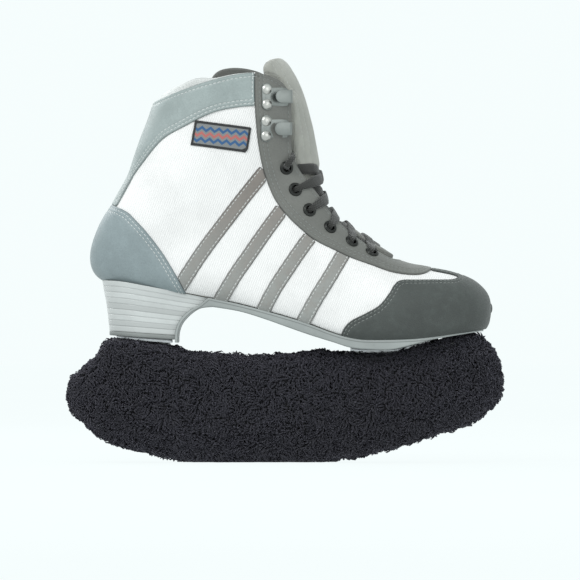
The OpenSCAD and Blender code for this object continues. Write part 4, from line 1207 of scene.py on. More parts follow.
# --- Lacing ---
OVER_ROWS = [[-0.012, -3.9, 0.5], [-0.008, -1.6, 0.5], [0.006, 1, 0.52], [0.035, 2.1, 0.6],
             [0.09, 2.15, 0.8], [0.16, 1.9, 1], [0.26, 0.9, 1], [0.38, 0.6, 1]]
UNDER_ROWS = [[0.62, -0.9, 1], [0.74, -1, 1], [0.83, -2.2, 1], [0.91, -2.9, 0.9], [0.996, -3, 0.6]]
BAR_ROWS = [[0.004, -3, 0.6], [0.09, -2.9, 0.9], [0.18, -2.1, 1], [0.28, -1, 1], [0.5, -0.9, 1],
            [0.72, -1, 1], [0.82, -2.1, 1], [0.91, -2.9, 0.9], [0.996, -3, 0.6]]
LACE_END = [
    [1.3, 27.6, 194.7, 0.55], [2.2, 32.4, 196.4, 0.6], [4, 32, 199.2, 0.6], [5.8, 29.8, 201.6, 0.5],
    [5.4, 26.4, 203.2, 0.45], [2.4, 25, 203.6, 0.45], [-1.6, 24, 201.6, 0.5], [-5.4, 23, 196.5, 0.7],
    [-10.5, 21.8, 187, 0.9], [-16, 20.6, 173, 1], [-21, 19.2, 158, 1], [-26.5, 17.8, 143, 1],
    [-32, 16.4, 129.5, 1], [-40, 15.4, 120, 1], [-52, 15, 120.6, 1], [-68, 15, 123.2, 1],
    [-82, 14.8, 126, 1], [-91, 11.6, 127.8, 1], [-94.5, 7.2, 128.5, 1], [-91, 3, 127.8, 1],
    [-80, 1.8, 125.4, 1], [-60, 1.8, 121.8, 1], [-36, 1.9, 116.8, 1], [-12, 2.2, 111, 1], [12, 3, 104, 1],
    [34, 4.6, 96.2, 1], [46, 8, 92.8, 1], [49.5, 12.4, 92.2, 1], [45, 16.8, 93.4, 1], [30, 18.6, 97.6, 1],
    [12, 19, 104, 1], [-3, 18.6, 108.7, 0.6]]
LACE_LANDING = 13
LACE_LIFTS = [3.6, -3.6, -3.4, -2, 0.8, 2.4]
LACE = {"width": 7.0, "thick": 1.4}


def unit(v):
    return v / np.maximum(norm(v, axis=-1, keepdims=True), 1e-9)


def level_ring(place):
    low, high = 5.0, 20.0
    for _ in range(20):
        s = (low + high) / 2
        at, up = spline_at(RINGS, s), spline_at(RINGS, s + 0.1) - spline_at(RINGS, s - 0.1)
        over = (place - at[2:4]) @ up[2:4] > 0
        low, high = (s, high) if over else (low, s)
    return (low + high) / 2


def crossing(start, end, side, rows, lift):
    """The rows' places on the skin: ring, angle, distance out and share of the width."""
    a, b = spot(*start), spot(*end)
    top = level_ring((np.array(start) + np.array(end)) / 2)
    t = np.array([r[0] for r in rows])
    s = a[0] * (1 - t) * (1 - 2 * t) + top * 4 * t * (1 - t) + b[0] * t * (2 * t - 1)
    turn = side * (a[1] * (1 - t) - b[1] * t)
    out = [r[1] + lift * np.interp(r[0], (0.24, 0.38, 0.62, 0.78), (0, 0.9, 0.9, 0)) for r in rows]
    return np.column_stack([s, turn, out, [r[2] for r in rows]])


def skin_frames(path, steps=7):
    path = spline(path, steps)
    s, turn, off = path[:, 0], path[:, 1], path[:, 2]
    p = skin(s, turn, off)
    e = skin(s + 0.1, turn, off) - p
    f = skin(s, turn + radians(2), off) - p
    out = unit(np.cross(f, e))
    along = np.gradient(p, axis=0)
    across = unit(np.cross(out, along))
    return p, across, unit(np.cross(along, across)), path[:, 3]


def lace_section(count=16, square=3.2):
    """A flat lace's outline: along its width and through it, 1 at the edges."""
    a = np.linspace(0, 2 * pi, count, endpoint=False)
    r = (np.abs(np.cos(a)) ** square + np.abs(np.sin(a)) ** square) ** (-1 / square)
    return np.stack([r * np.cos(a), r * np.sin(a)], 1)


def swept(frames, section):
    """Points, faces and braid coordinates of a lace through its frames."""
    p, across, through, share = frames
    half = LACE["width"] / 2 * share
    deep = LACE["thick"] / 2 * (1 + 0.7 * (1 - share))
    body = (p[:, None] + across[:, None] * (half[:, None] * section[:, 0])[..., None]
            + through[:, None] * (deep[:, None] * section[:, 1])[..., None])
    n, m = body.shape[:2]
    run = np.concatenate([[0], np.cumsum(norm(np.diff(p, axis=0), axis=1))])
    points = np.concatenate([body.reshape(-1, 3), p[:1], p[-1:]])
    u = np.concatenate([np.repeat(run, m), run[:1], run[-1:]])
    v = np.concatenate([(half[:, None] * section[:, 0]).ravel(), [0, 0]])
    faces = tube_sides(n, m)
    for j in range(m):
        k = (j + 1) % m
        faces.append([n * m, k, j])
        faces.append([n * m + 1, (n - 1) * m + j, (n - 1) * m + k])
    return points, faces, np.stack([u, v], 1) * MM


def braided(name, sweeps):
    """One object from one or more swept laces, with their braid coordinates."""
    points, faces, braid, base = [], [], [], 0
    for p, f, uv in sweeps:
        points.append(p)
        braid.append(uv)
        faces += [[v + base for v in face] for face in f]
        base += len(p)
    piece = object_from(name, np.vstack(points) * MM, faces)
    flat = np.vstack(braid)
    layer = piece.data.uv_layers.new(name="braid")
    corners = np.empty(len(piece.data.loops), int)
    piece.data.loops.foreach_get("vertex_index", corners)
    layer.data.foreach_set("uv", flat[corners].ravel())
    turn_outward(piece)
    return piece


def make_lace():
    section = lace_section()
    sweeps = []
    last = len(EYELET_SPOTS) - 1
    for i in range(last, 0, -1):
        for side in (LATERAL, MEDIAL):
            crest = 0.75 if side == (LATERAL if i % 2 == 0 else MEDIAL) else -0.9
            rows = OVER_ROWS + [[0.5, crest, 1]] + UNDER_ROWS
            path = crossing(EYELET_SPOTS[i], EYELET_SPOTS[i - 1], side, rows, LACE_LIFTS[i])
            sweeps.append(swept(skin_frames(path), section))
    path = crossing(EYELET_SPOTS[last], EYELET_SPOTS[last], LATERAL, BAR_ROWS, LACE_LIFTS[0])
    sweeps.append(swept(skin_frames(path), section))
    piece = braided("lace_crossings", sweeps)
    settle(piece, "boot", "lace", ["lace"])


def lace_end_frames(side, steps=6):
    points = np.array(LACE_END)
    points[:, 1] *= side
    way = unit(np.gradient(points[:, :3], axis=0))
    guess = np.where(
        np.arange(len(points))[:, None] < LACE_LANDING, np.cross(way, [0, 1.0, 0]), [0, 0, -1.0])
    across = unit(guess - way * (guess * way).sum(1, keepdims=True))
    fine = spline(points, steps)
    run = np.linspace(0, len(points) - 1, len(fine))
    turned = np.stack([np.interp(run, np.arange(len(points)), across[:, k]) for k in range(3)], 1)
    along = unit(np.gradient(fine[:, :3], axis=0))
    turned = unit(turned - along * (turned * along).sum(1, keepdims=True))
    return fine[:, :3], turned, unit(np.cross(along, turned)), fine[:, 3]


def make_lace_ends():
    for name, side in SIDES.items():
        frames = lace_end_frames(side)
        piece = braided("free_lace_" + name, [swept(frames, lace_section(12))])
        settle(piece, "boot", "lace", ["lace_end_" + name])
        line = frames[0] * MM
        length = float(norm(np.diff(line, axis=0), axis=1).sum())
        way = unit((frames[0][-1] - frames[0][-7]) * [1, 0, 1])
        bpy.ops.mesh.primitive_cylinder_add(vertices=24, radius=1.5 * MM, depth=20 * MM)
        tip = bpy.context.active_object
        tip.name = "lace_aglet_" + name
        tip.data.transform(Matrix.Translation((0, 0, 10 * MM)))
        turn = Vector((0, 0, 1)).rotation_difference(Vector(way)).to_matrix().to_4x4()
        tip.data.transform(Matrix.Translation(Vector(line[-1])) @ turn)
        apply_modifier(tip, "BEVEL", width=0.35 * MM, segments=2, limit_method="ANGLE")
        smooth_by_angle(tip, 40)
        settle(tip, "boot", "aglet", ["aglet_" + name])


# --- Metal fittings ---
def turned(name, profile, sides=40):
    """A round part from its profile of radius and height, in millimetres, by extruding a ring."""
    deselect()
    radius, level = profile[0]
    bpy.ops.mesh.primitive_circle_add(vertices=sides, radius=radius * MM, location=(0, 0, level * MM))
    piece = bpy.context.active_object
    piece.name = name
    bpy.ops.object.transform_apply(location=True, rotation=True, scale=True)
    bpy.ops.object.mode_set(mode="EDIT")
    bpy.ops.mesh.select_all(action="SELECT")
    for r, z in profile[1:]:
        bpy.ops.mesh.extrude_region_move(TRANSFORM_OT_translate={"value": (0, 0, (z - level) * MM)})
        size = r / radius
        bpy.ops.transform.resize(value=(size, size, 1), center_override=(0, 0, z * MM))
        radius, level = r, z
    close_edit()
    turn_outward(piece, 0.004 * MM)
    smooth_by_angle(piece, 50)
    return piece


def copies(template, name, matrices):
    """Sets a copy of the template at each matrix and joins them into one piece."""
    made = []
    for k, matrix in enumerate(matrices):
        mesh = template.data.copy()
        mesh.transform(matrix)
        made.append(placed(f"{name}_{k}", mesh))
    bpy.data.objects.remove(template)
    piece = joined(made)
    piece.name = name
    return piece


EYELET_PROFILE = [
    [2.7, 0.75], [2.85, 1.02], [3.15, 1.12], [3.4, 1.0], [3.55, 0.82], [3.9, 0.86], [4.25, 0.7],
    [4.52, 0.32], [4.6, -0.05], [3.2, -0.1], [3.2, -3.05], [3.6, -3.1], [3.6, -3.5], [2.7, -3.55],
    [2.7, 0.75]]


def make_eyelets():
    for name, side in SIDES.items():
        ring = turned("eyelet", EYELET_PROFILE)
        places = [frame_at(x, z, side, 1.3) for x, z in EYELET_SPOTS]
        piece = copies(ring, "eyelets_ring_" + name, places)
        settle(piece, "boot", "gunmetal", ["eyelets_" + name])


RIVET_REACH, RIVET_RISE, HOOK_OFF = 7, 4.9, 0.65
RIVET_PROFILE = [
    [0.002, 2.3], [0.9, 2.25], [1.9, 2.0], [2.75, 1.55], [3.25, 1.15], [3.4, 0.9], [3.4, 0.86],
    [1.3, 0.84], [1.3, -3.0], [2.5, -3.1], [2.5, -3.9], [0.002, -4.0]]


def bent_strip(name, path, widths, thick):
    """A strip of sheet metal bent along a path of x and z, with its own width at each place."""
    x, z = path[0]
    mesh = bpy.data.meshes.new(name)
    mesh.from_pydata([(x * MM, y * MM, z * MM) for y in (-widths[0] / 2, widths[0] / 2)], [(0, 1)], [])
    piece = placed(name, mesh)
    edit_all(piece)
    bpy.ops.mesh.select_mode(type="EDGE")
    bpy.ops.mesh.select_all(action="SELECT")
    for (a, b), (c, d), w, v in zip(path, path[1:], widths, widths[1:]):
        bpy.ops.mesh.extrude_region_move(TRANSFORM_OT_translate={"value": ((c - a) * MM, 0, (d - b) * MM)})
        bpy.ops.transform.resize(value=(1, v / w, 1), center_override=(0, 0, 0))
    close_edit()
    apply_modifier(piece, "SOLIDIFY", thickness=thick * MM, offset=0, use_even_offset=True)
    apply_modifier(piece, "BEVEL", width=0.22 * MM, segments=2, limit_method="ANGLE")
    turn_outward(piece, 1e-6)
    smooth_by_angle(piece, 40)
    return piece


def hook_path(low=0.45, reach=7.6, bend=2.35, wide=8.6):
    """The hook's side view, from its foot round the bend to its rounded end, and its widths."""
    path = [(-8.5, low), (-4, low), (3.5, low), (reach, low)]
    for k in range(1, 9):
        a = radians(-90 + 180 * k / 9)
        path.append((reach + bend * cos(a), low + bend + bend * sin(a)))
    up = low + 2 * bend
    path += [(reach, up), (4, up), (1.4, up)]
    turns = [radians(90 * k / 8) for k in range(1, 8)]
    path += [(1.4 - 4.3 * sin(a), up) for a in turns]
    return path, [9.6, 11.8, 12.4, 11.8] + [wide] * 11 + [wide * cos(a) for a in turns]


def hook_blank():
    """One hook: its bent strip, two round rivet seats and the plate between them."""
    parts = [bent_strip("hook_strip", *hook_path(), 0.9)]
    for rise in (-RIVET_RISE, RIVET_RISE):
        bpy.ops.mesh.primitive_cylinder_add(vertices=40, radius=3.9 * MM, depth=0.84 * MM,
            location=(-RIVET_REACH * MM, rise * MM, 0.44 * MM))
        parts.append(bpy.context.active_object)
    bpy.ops.mesh.primitive_cube_add(
        size=1, location=(-RIVET_REACH * MM, 0, 0.44 * MM), scale=(7.2 * MM, 9.8 * MM, 0.8 * MM))
    parts.append(bpy.context.active_object)
    for part in parts[1:]:
        activate(part)
        bpy.ops.object.transform_apply(location=True, rotation=True, scale=True)
        apply_modifier(part, "BEVEL", width=0.2 * MM, segments=2, limit_method="ANGLE")
        smooth_by_angle(part, 40)
    return joined(parts)


def make_hooks():
    for name, side in SIDES.items():
        for level, (x, z) in HOOK_SPOTS.items():
            full = f"hook_{name}_{level}"
            piece = copies(hook_blank(), "lace_" + full, [frame_at(x, z, side, HOOK_OFF)])
            settle(piece, "boot", "nickel", [full])
    places = [frame_at(x, z, side, HOOK_OFF) @ Matrix.Translation((-RIVET_REACH * MM, rise * MM, 0))
              for x, z in HOOK_SPOTS.values() for side in SIDES.values()
              for rise in (-RIVET_RISE, RIVET_RISE)]
    piece = copies(turned("rivet", RIVET_PROFILE), "hook_rivet_heads", places)
    settle(piece, "boot", "rivet", ["hook_rivets"])


# --- Sole and heel ---
BREAST_OUTER = [[-69.6, 79.5], [-69.2, 86], [-66.8, 92.3], [-61, 98.5], [-55, 102], [-47, 103]]
BREAST_INNER = [[-72, 79.5], [-71.6, 86.6], [-69, 93.8], [-62.6, 100.6], [-56, 104.4], [-50, 109.2]]
HEEL_BACK = [[-115.4, 84.2], [-115.6, 87.8], [-117.6, 105.2], [-119.2, 113], [-120.4, 120.2]]
WELT = 1.6
LIFT = 3


def make_outsole():
    outer, inner = list(spline(BREAST_OUTER, 5)), list(spline(BREAST_INNER, 5))
    toe_end = 132 - 14 * np.cos(np.linspace(0.1, 1.56, 26))
    xs = np.concatenate([np.linspace(-45.5, 118, 74), toe_end])
    xs = xs[xs < 131.95]
    outer += [np.array([x, float(height(UNDER_LINE, x))]) for x in xs]
    inner += [np.array([x, float(height(SOLE_LINE, x))]) for x in xs]
    rows, layer = [], []
    for low, high in zip(outer, inner):
        x = float(high[0])
        lateral, medial = plan_at(min(max(x, -119), 131.9), 0.5, WELT)
        tall = float(norm(high - low))
        soft = min(1.1, tall * 0.3)
        ring = []
        for y, way in ((lateral, 1), (medial, -1)):
            arc = [(y + way * soft * (1 - sin(a)), soft * (1 - cos(a))) for a in np.linspace(0, pi / 2, 5)]
            bottom = [(yy, rise) for yy, rise in arc]
            top = [(yy, tall - rise * 0.35) for yy, rise in arc][::-1]
            middle = [(y, soft + (tall - 1.35 * soft) * k / 4) for k in range(1, 4)]
            column = bottom + middle + top
            ring.append(column if way == 1 else column[::-1])
        around = ring[0] + ring[1]
        direction = (high - low) / max(tall, 1e-6)
        rows.append([[low[0] + direction[0] * rise, y, low[1] + direction[1] * rise]
                     for y, rise in around])
        layer.append([tall - rise for _, rise in around])
    piece = ring_solid("rubber_outsole", np.array(rows), np.array(layer), 50)
    settle(piece, "boot", "sole", ["outsole"])


def heel_floor(x):
    """The height of the heel's underside."""
    return np.interp(x, [-125, -60], [84.9, 80.7])


def heel_rows(levels, low, high):
    """Rings of the heel between two shares of its height: back, sides and front."""
    breast = spline(BREAST_INNER, 8)
    floor = heel_floor(breast[:, 0]) + LIFT
    share = (breast[:, 1] - floor) / (height(SOLE_LINE, breast[:, 0]) - floor)
    rings = []
    for v in np.linspace(low, high, levels):
        front = float(np.interp(v, share, breast[:, 0])) - 0.15
        z_back = 84.9 + LIFT + (120.5 - 87.9) * v
        back = float(np.interp(z_back, [p[1] for p in HEEL_BACK], [p[0] for p in HEEL_BACK]))
        half = 23.4 + 2.4 * v
        ring = []
        for t in np.linspace(0, 1, 40):
            along = (1 - cos(pi * t / 2)) if t < 1 else 1
            x = back + (front - back) * along
            wide = min((x - back) / 27, 1)
            ring.append([x, half * (1 - (1 - wide) ** 2.3) ** (1 / 2.1)])
        outline = [[x, -y] for x, y in ring] + [[front, y] for y in
                                                np.linspace(-ring[-1][1], ring[-1][1], 14)[1:-1]]
        outline += [[x, y] for x, y in ring[::-1]][:-1]
        outline = np.array(outline)
        bottom = heel_floor(outline[:, 0]) + LIFT
        top = height(SOLE_LINE, outline[:, 0]) - 0.08
        rings.append(np.column_stack([outline, bottom + (top - bottom) * v]))
    return np.array(rings)


def ring_solid(name, rings, layer, angle=55):
    """A closed solid of rings, marked with the layer that each point belongs to."""
    piece = object_from(name, rings.reshape(-1, 3) * MM, tube_faces(*rings.shape[:2]))
    mark(piece, "layer", layer)
    turn_outward(piece)
    smooth_by_angle(piece, angle)
    return piece


def make_heel():
    levels = 110
    rings = heel_rows(levels, 0.002, 1.0)
    share = np.linspace(0, 1, levels)
    groove = np.exp(-(((share * HEEL_LAYERS + 0.5) % 1 - 0.5) / 0.1) ** 2) * 0.14
    groove[0] = groove[-1] = 0
    middle = rings[:, :, :2].mean(1, keepdims=True)
    inward = unit(rings[:, :, :2] - middle)
    rings[:, :, :2] -= inward * groove[:, None, None]
    piece = ring_solid("stacked_heel", rings, np.repeat(share, rings.shape[1]))
    settle(piece, "boot", "heel", ["heel_block"])
    rings = heel_rows(2, 0.0, 0.001)
    base = rings[:1]
    lift = np.concatenate([base + [0, 0, dz] for dz in (-2.98, -2.7, -0.35, -0.1)])
    lift[0, :, :2] += (lift[0, :, :2].mean(0) - lift[0, :, :2]) * 0.012
    lift[3, :, :2] += (lift[3, :, :2].mean(0) - lift[3, :, :2]) * 0.01
    piece = ring_solid("heel_lift_layer", lift, np.repeat(np.linspace(0, 1, 4), lift.shape[1]))
    settle(piece, "boot", "lift", ["heel_lift"])


# --- Blade, plates and screws ---
def dressed(name, node, body, finish, bevel):
    """A copy of a plain CAD node, with its edges broken by a small bevel."""
    source = CAD_MESHES[node]
    mesh = source.data.copy()
    mesh.transform(source.matrix_world)
    mesh.materials.clear()
    piece = placed(name, mesh)
    turn_outward(piece, 2e-6)
    edit_all(piece)
    bpy.ops.mesh.dissolve_limited(angle_limit=radians(1.5))
    close_edit()
    apply_modifier(piece, "BEVEL", width=bevel * MM, segments=2, limit_method="ANGLE",
                   angle_limit=radians(40), use_clamp_overlap=True)
    smooth_by_angle(piece, 35)
    return settle(piece, body, finish, [node])


def make_blade_set():
    dressed("blade_steel_bar", "blade", "boot", "blade", 0.3)
    for node in ("front_stanchion", "rear_stanchion", "sole_plate", "heel_plate"):
        dressed("pressed_" + node, node, "boot", "steel", 0.3)
    for node in ("sole_screws", "heel_screws"):
        dressed("turned_" + node, node, "boot", "nickel", 0.12)


def dress_hidden():
    """The parts inside the boot keep their own shape and get their finish."""
    for node, finish, slot in (
            ("toe_puff", "board", "stiffener_board"), ("counter_stiffener", "board", "stiffener_board"),
            ("insole_board", "board", "stiffener_board"), ("shank", "steel", "steel")):
        part = CAD_MESHES[node]
        part.data.materials.clear()
        part.data.materials.append(FINISHES[finish])


# --- Plush cover ---
COVER_RINGS = np.array([
    [-144.2, 44, 50, 5], [-141, 35, 55.8, 12], [-135, 27.5, 60.6, 18.5], [-127, 20.5, 66.5, 23],
    [-120.5, 16, 77, 26], [-114, 12.4, 83.7, 28], [-101, 7.8, 82, 30.5], [-80, 4, 79, 32],
    [-61, -0.6, 73.4, 32], [-38, -1.6, 71.8, 31], [-12, -1.6, 71, 30.5], [14, -1.2, 73, 31],
    [36, 1.4, 73.5, 32], [54, 5, 73.8, 33], [74, 9.5, 75.6, 33.5], [94, 16, 80.8, 32.5],
    [110, 21.5, 83.6, 30.5], [122, 25, 85.6, 27.5], [131, 30, 83.8, 23.5], [138, 36, 76.8, 18.5],
    [142.5, 41, 67.5, 12], [144.7, 46.5, 54, 5]])
SLOT_LINE = [
    [-121.5, 120], [-121.5, 31], [-119, 23.5], [-110.5, 18.3], [-94, 15.7], [-60, 13.8], [-10, 13.5],
    [40, 14.3], [70, 16.8], [85, 20.6], [97, 23.4], [110, 30], [124, 38.5], [131.5, 45.5], [131.5, 120]]
ELASTIC_PATH = [
    [-127.5, 0, 60], [-124, 9, 65], [-119, 17.5, 72], [-112, 22.4, 74.5], [-98, 23.7, 74],
    [-80, 23.3, 72.3], [-70, 21.5, 69], [-60, 16, 66.5], [-48, 12, 65], [-20, 10, 64.5], [10, 11, 65.5],
    [26, 15, 66.5], [35.5, 23, 66.8], [44, 26, 66.8], [70, 26, 69.5], [92, 25.8, 73.5], [108, 25, 77.5],
    [116, 20.5, 78], [126, 12.5, 75], [133.5, 7.5, 68.5], [137, 0, 62.5]]


def cover_loft(name, inward, sides=72, steps=5):
    """The cover's outside as a closed body, drawn in by a distance in millimetres."""
    a = np.linspace(0, 2 * pi, sides, endpoint=False)
    is_top = np.cos(a) >= 0
    power = np.where(is_top, 5, 2.5)
    r = (np.abs(np.cos(a)) ** power + np.abs(np.sin(a)) ** power) ** (-1 / power)
    rows = spline(COVER_RINGS, steps)
    tall = (rows[:, 2] - rows[:, 1])[:, None]
    z = (rows[:, 1:2] + tall * 0.46 + tall * np.where(is_top, 0.54, 0.46) * r * np.cos(a))
    y = rows[:, 3:4] * r * np.sin(a)
    x = np.broadcast_to(rows[:, :1], y.shape)
    body = np.stack([x, y, z], -1)
    piece = object_from(name, body.reshape(-1, 3) * MM, tube_faces(*body.shape[:2]))
    turn_outward(piece)
    if inward:
        edit_all(piece)
        bpy.ops.transform.shrink_fatten(value=-inward * MM)
        close_edit()
    return piece


def cover_tree():
    """A search tree of the cover's outside."""
    outside = cover_loft("cover_outside", 0)
    tree = BVHTree.FromObject(outside, bpy.context.evaluated_depsgraph_get())
    bpy.data.objects.remove(outside)
    return tree


def prism(name, outline, low, high, plane="XZ"):
    """An outline pushed through: a side view across the boot, or a cross-section along it."""
    spots = np.asarray(outline, float) * MM
    fixed = np.full(len(spots), low * MM)
    first = (np.stack([spots[:, 0], fixed, spots[:, 1]], 1) if plane == "XZ"
             else np.stack([fixed, spots[:, 0], spots[:, 1]], 1))
    piece = object_from(name, first, [list(range(len(spots)))])
    edit_all(piece)
    reach = (high - low) * MM
    push = (0, reach, 0) if plane == "XZ" else (reach, 0, 0)
    bpy.ops.mesh.extrude_region_move(TRANSFORM_OT_translate={"value": push})
    close_edit()
    turn_outward(piece)
    return piece


def grown(outline, reach):
    """An outline moved outwards, for a ring of points that runs clockwise in the side view."""
    p = np.asarray(outline, float)
    way = unit(np.roll(p, -1, 0) - np.roll(p, 1, 0))
    out = np.stack([way[:, 1], -way[:, 0]], 1)
    area = (p[:, 0] * np.roll(p[:, 1], -1) - np.roll(p[:, 0], -1) * p[:, 1]).sum()
    return p + out * reach * (1 if area > 0 else -1)


def carve(piece, cutters):
    for cutter in cutters:
        apply_modifier(piece, "BOOLEAN", operation="DIFFERENCE", solver="EXACT", object=cutter)
        bpy.data.objects.remove(cutter)


def hollow(grow):
    """The room inside the cover for the blade, the stanchions and their plates."""
    half = 3 + grow
    parts = [prism("cut", grown(SLOT_LINE, grow), -half, half)]
    for low_x, high_x, head, plate, plate_x in (
            (42, 98, 11.2, 20, (42, 106)), (-110, -73, 6.6, 17, (-111, -74))):
        cut = [[-4.6 - grow, 40 - grow], [4.6 + grow, 40 - grow], [head + grow, 72],
               [head + grow, 120], [-head - grow, 120], [-head - grow, 72]]
        parts.append(prism("cut", cut, low_x - grow, high_x + grow, "YZ"))
        xs = np.linspace(plate_x[0] - 1.2 - grow, plate_x[1] + 1.2 + grow, 8)
        floor = (height(UNDER_LINE, xs) if low_x > 0 else heel_floor(xs))
        line = np.stack([xs, floor - 4.7 - grow], 1)
        outline = np.concatenate([[[xs[0], 130]], line, [[xs[-1], 130]]])
        parts.append(prism("cut", outline, -plate - 1 - grow, plate + 1 + grow))
    return parts


def coordinates(piece):
    return rows_of(piece.data.vertices, "co")


def rows_of(items, key):
    """Three numbers for each point or face of a mesh."""
    flat = np.empty(len(items) * 3)
    items.foreach_get(key, flat)
    return flat.reshape(-1, 3)


def place_points(piece, points):
    piece.data.vertices.foreach_set("co", np.ascontiguousarray(points).ravel())
    piece.data.update()


def inflate(piece, pressure, cap, held, frames=20):
    """Stuffing: cloth under pressure, where the held points stay and none moves beyond cap."""
    before = coordinates(piece)
    group = piece.vertex_groups.new(name="held")
    group.add([int(v) for v in np.flatnonzero(held)], 1.0, "REPLACE")
    activate(piece)
    bpy.ops.object.modifier_add(type="CLOTH")
    cloth = piece.modifiers[-1]
    for key, value in dict(quality=5, mass=0.3, tension_stiffness=14, compression_stiffness=14,
                           bending_stiffness=0.6, use_pressure=True,
                           uniform_pressure_force=pressure, vertex_group_mass="held").items():
        setattr(cloth.settings, key, value)
    cloth.settings.effector_weights.gravity = 0
    cloth.point_cache.frame_start, cloth.point_cache.frame_end = 1, frames
    scene = bpy.context.scene
    for number in range(1, frames + 1):
        scene.frame_set(number)
    bpy.ops.object.modifier_apply(modifier=cloth.name)
    scene.frame_set(1)
    move = coordinates(piece) - before
    size = norm(move, axis=1, keepdims=True)
    move *= np.minimum(1, cap * MM / np.maximum(size, 1e-9))
    move[held] = 0
    place_points(piece, before + move)
    piece.vertex_groups.clear()


def noise_at(points, scale, seed=0.0):
    """Smooth noise at points in metres, for a scale in millimetres or one for each axis."""
    at = points / MM / np.asarray(scale, float) + seed
    return np.array([noise.noise(Vector(p)) for p in at])


PILE = {"length": 4.4, "radius": 0.74, "parts": 5}


def triangle_mesh(name, points, triangles):
    """A large mesh of triangles, filled from arrays."""
    mesh = bpy.data.meshes.new(name)
    mesh.vertices.add(len(points))
    mesh.vertices.foreach_set("co", np.ascontiguousarray(points).ravel())
    mesh.loops.add(triangles.size)
    mesh.loops.foreach_set("vertex_index", triangles.ravel().astype(np.int32))
    mesh.polygons.add(len(triangles))
    mesh.polygons.foreach_set("loop_start", np.arange(0, triangles.size, 3, dtype=np.int32))
    mesh.polygons.foreach_set("use_smooth", np.ones(len(triangles), bool))
    mesh.update(calc_edges=True)
    mesh.validate()
    return placed(name, mesh)


def tufts(base, out, rng):
    """Curved tapering tufts: points, triangles and how far along each point is."""
    count = len(base)
    helper = np.where(np.abs(out[:, 2:]) > 0.9, [[1.0, 0, 0]], [[0, 0, 1.0]])
    one = unit(np.cross(out, helper))
    two = np.cross(out, one)
    turn = (noise_at(base, 11) * 7 + rng.uniform(-1.1, 1.1, count))[:, None]
    lean = one * np.cos(turn) + two * np.sin(turn)
    lean = unit(lean + np.array([0, 0, -0.25]))
    lean = unit(lean - out * (lean * out).sum(1, keepdims=True))
    clump = 0.72 + 0.75 * np.clip(noise_at(base, 5.2, 31) + 0.45, 0, 1)
    size = (PILE["length"] / 4.4 * clump * rng.uniform(0.8, 1.2, count))[:, None] * MM
    spine = np.stack([base - out * 0.9 * MM, base + (out * 1.3 + lean * 0.25) * size,
                      base + (out * 2.35 + lean * 1.25) * size,
                      base + (out * 2.55 + lean * 2.5) * size], 1)
    tip = base + (out * 1.9 + lean * 3.5) * size
    radius = np.array([0.8, 1.0, 0.92, 0.62]) * PILE["radius"] * MM
    radius = radius[None, :] * rng.uniform(0.85, 1.15, (count, 1))
    along = unit(np.gradient(spine, axis=1))
    side = unit(np.cross(along, lean[:, None] + out[:, None] * 0.3))
    over = np.cross(along, side)
    rings = []
    for k in range(3):
        a = 2 * pi * k / 3 + 0.5
        rings.append(spine + (side * cos(a) + over * sin(a)) * radius[..., None])
    body = np.stack(rings, 2).reshape(count, 12, 3)
    points = np.concatenate([body, tip[:, None]], 1)
    points[..., 2] = np.maximum(points[..., 2], 0.3 * MM)
    shape = [[2, 1, 0]]
    for i in range(3):
        for k in range(3):
            a, b = i * 3 + k, i * 3 + (k + 1) % 3
            shape += [[a, b, b + 3], [a, b + 3, a + 3]]
    shape += [[9, 10, 12], [10, 11, 12], [11, 9, 12]]
    shape = np.array(shape)
    triangles = (np.arange(count)[:, None, None] * 13 + shape).reshape(-1, 3)
    far = np.tile(np.concatenate([np.repeat([0, 0.35, 0.7, 0.9], 3), [1]]), count)
    return points.reshape(-1, 3), triangles, far


def cover_shell_piece():
    """The padded shell: lofted, hollowed, stuffed and made uneven."""
    tree = cover_tree()
    shell = cover_loft("plush_shell", 3.2)
    carve(shell, hollow(1.2))
    apply_modifier(shell, "REMESH", mode="VOXEL", voxel_size=3.1 * MM)
    deep = np.array([tree.find_nearest(Vector(p))[3] for p in coordinates(shell)])
    inflate(shell, 4.0, 1.8, deep > 4.6 * MM)
    apply_modifier(shell, "SUBSURF", levels=1, render_levels=1)
    points = coordinates(shell)
    normals = rows_of(shell.data.vertices, "normal")
    deep = np.array([tree.find_nearest(Vector(p))[3] for p in points])
    free = np.clip((6.5 * MM - deep) / (2.5 * MM), 0, 1)
    lumps = noise_at(points, 21, 5) * 1.5 + noise_at(points, (8, 16, 42), 9) * 0.9
    points += normals * (free * lumps * MM)[:, None]
    points[:, 2] = np.maximum(points[:, 2], 1.1 * MM)
    place_points(shell, points)
    return shell


def make_cover_shell():
    shell = cover_shell_piece()
    settle(shell, "cover", "backing", ["cover_shell"])
    mark(shell, "tip", np.zeros(len(shell.data.vertices)))


def make_pile():
    """Tufts on every outer face of the shell, in several pieces from heel to toe."""
    shell = bpy.data.objects["plush_shell"]
    tree = cover_tree()
    centre, normal = (rows_of(shell.data.polygons, key) for key in ("center", "normal"))
    deep, facing = np.empty(len(centre)), np.empty(len(centre))
    for k, p in enumerate(centre):
        _, way, _, reach = tree.find_nearest(Vector(p))
        deep[k], facing[k] = reach, way.dot(Vector(normal[k]))
    chosen = (deep < 6.4 * MM) & (facing > 0.1)
    centre, normal = centre[chosen], normal[chosen]
    rng = np.random.default_rng(11)
    centre = centre + unit(rng.normal(size=centre.shape)) * rng.uniform(0, 0.6, (len(centre), 1)) * MM
    order = np.argsort(centre[:, 0])
    for part, group in enumerate(np.array_split(order, PILE["parts"])):
        points, triangles, far = tufts(centre[group], normal[group], rng)
        piece = triangle_mesh(f"plush_pile_{part + 1}", points, triangles)
        mark(piece, "tip", far)
        settle(piece, "cover", "plush", ())


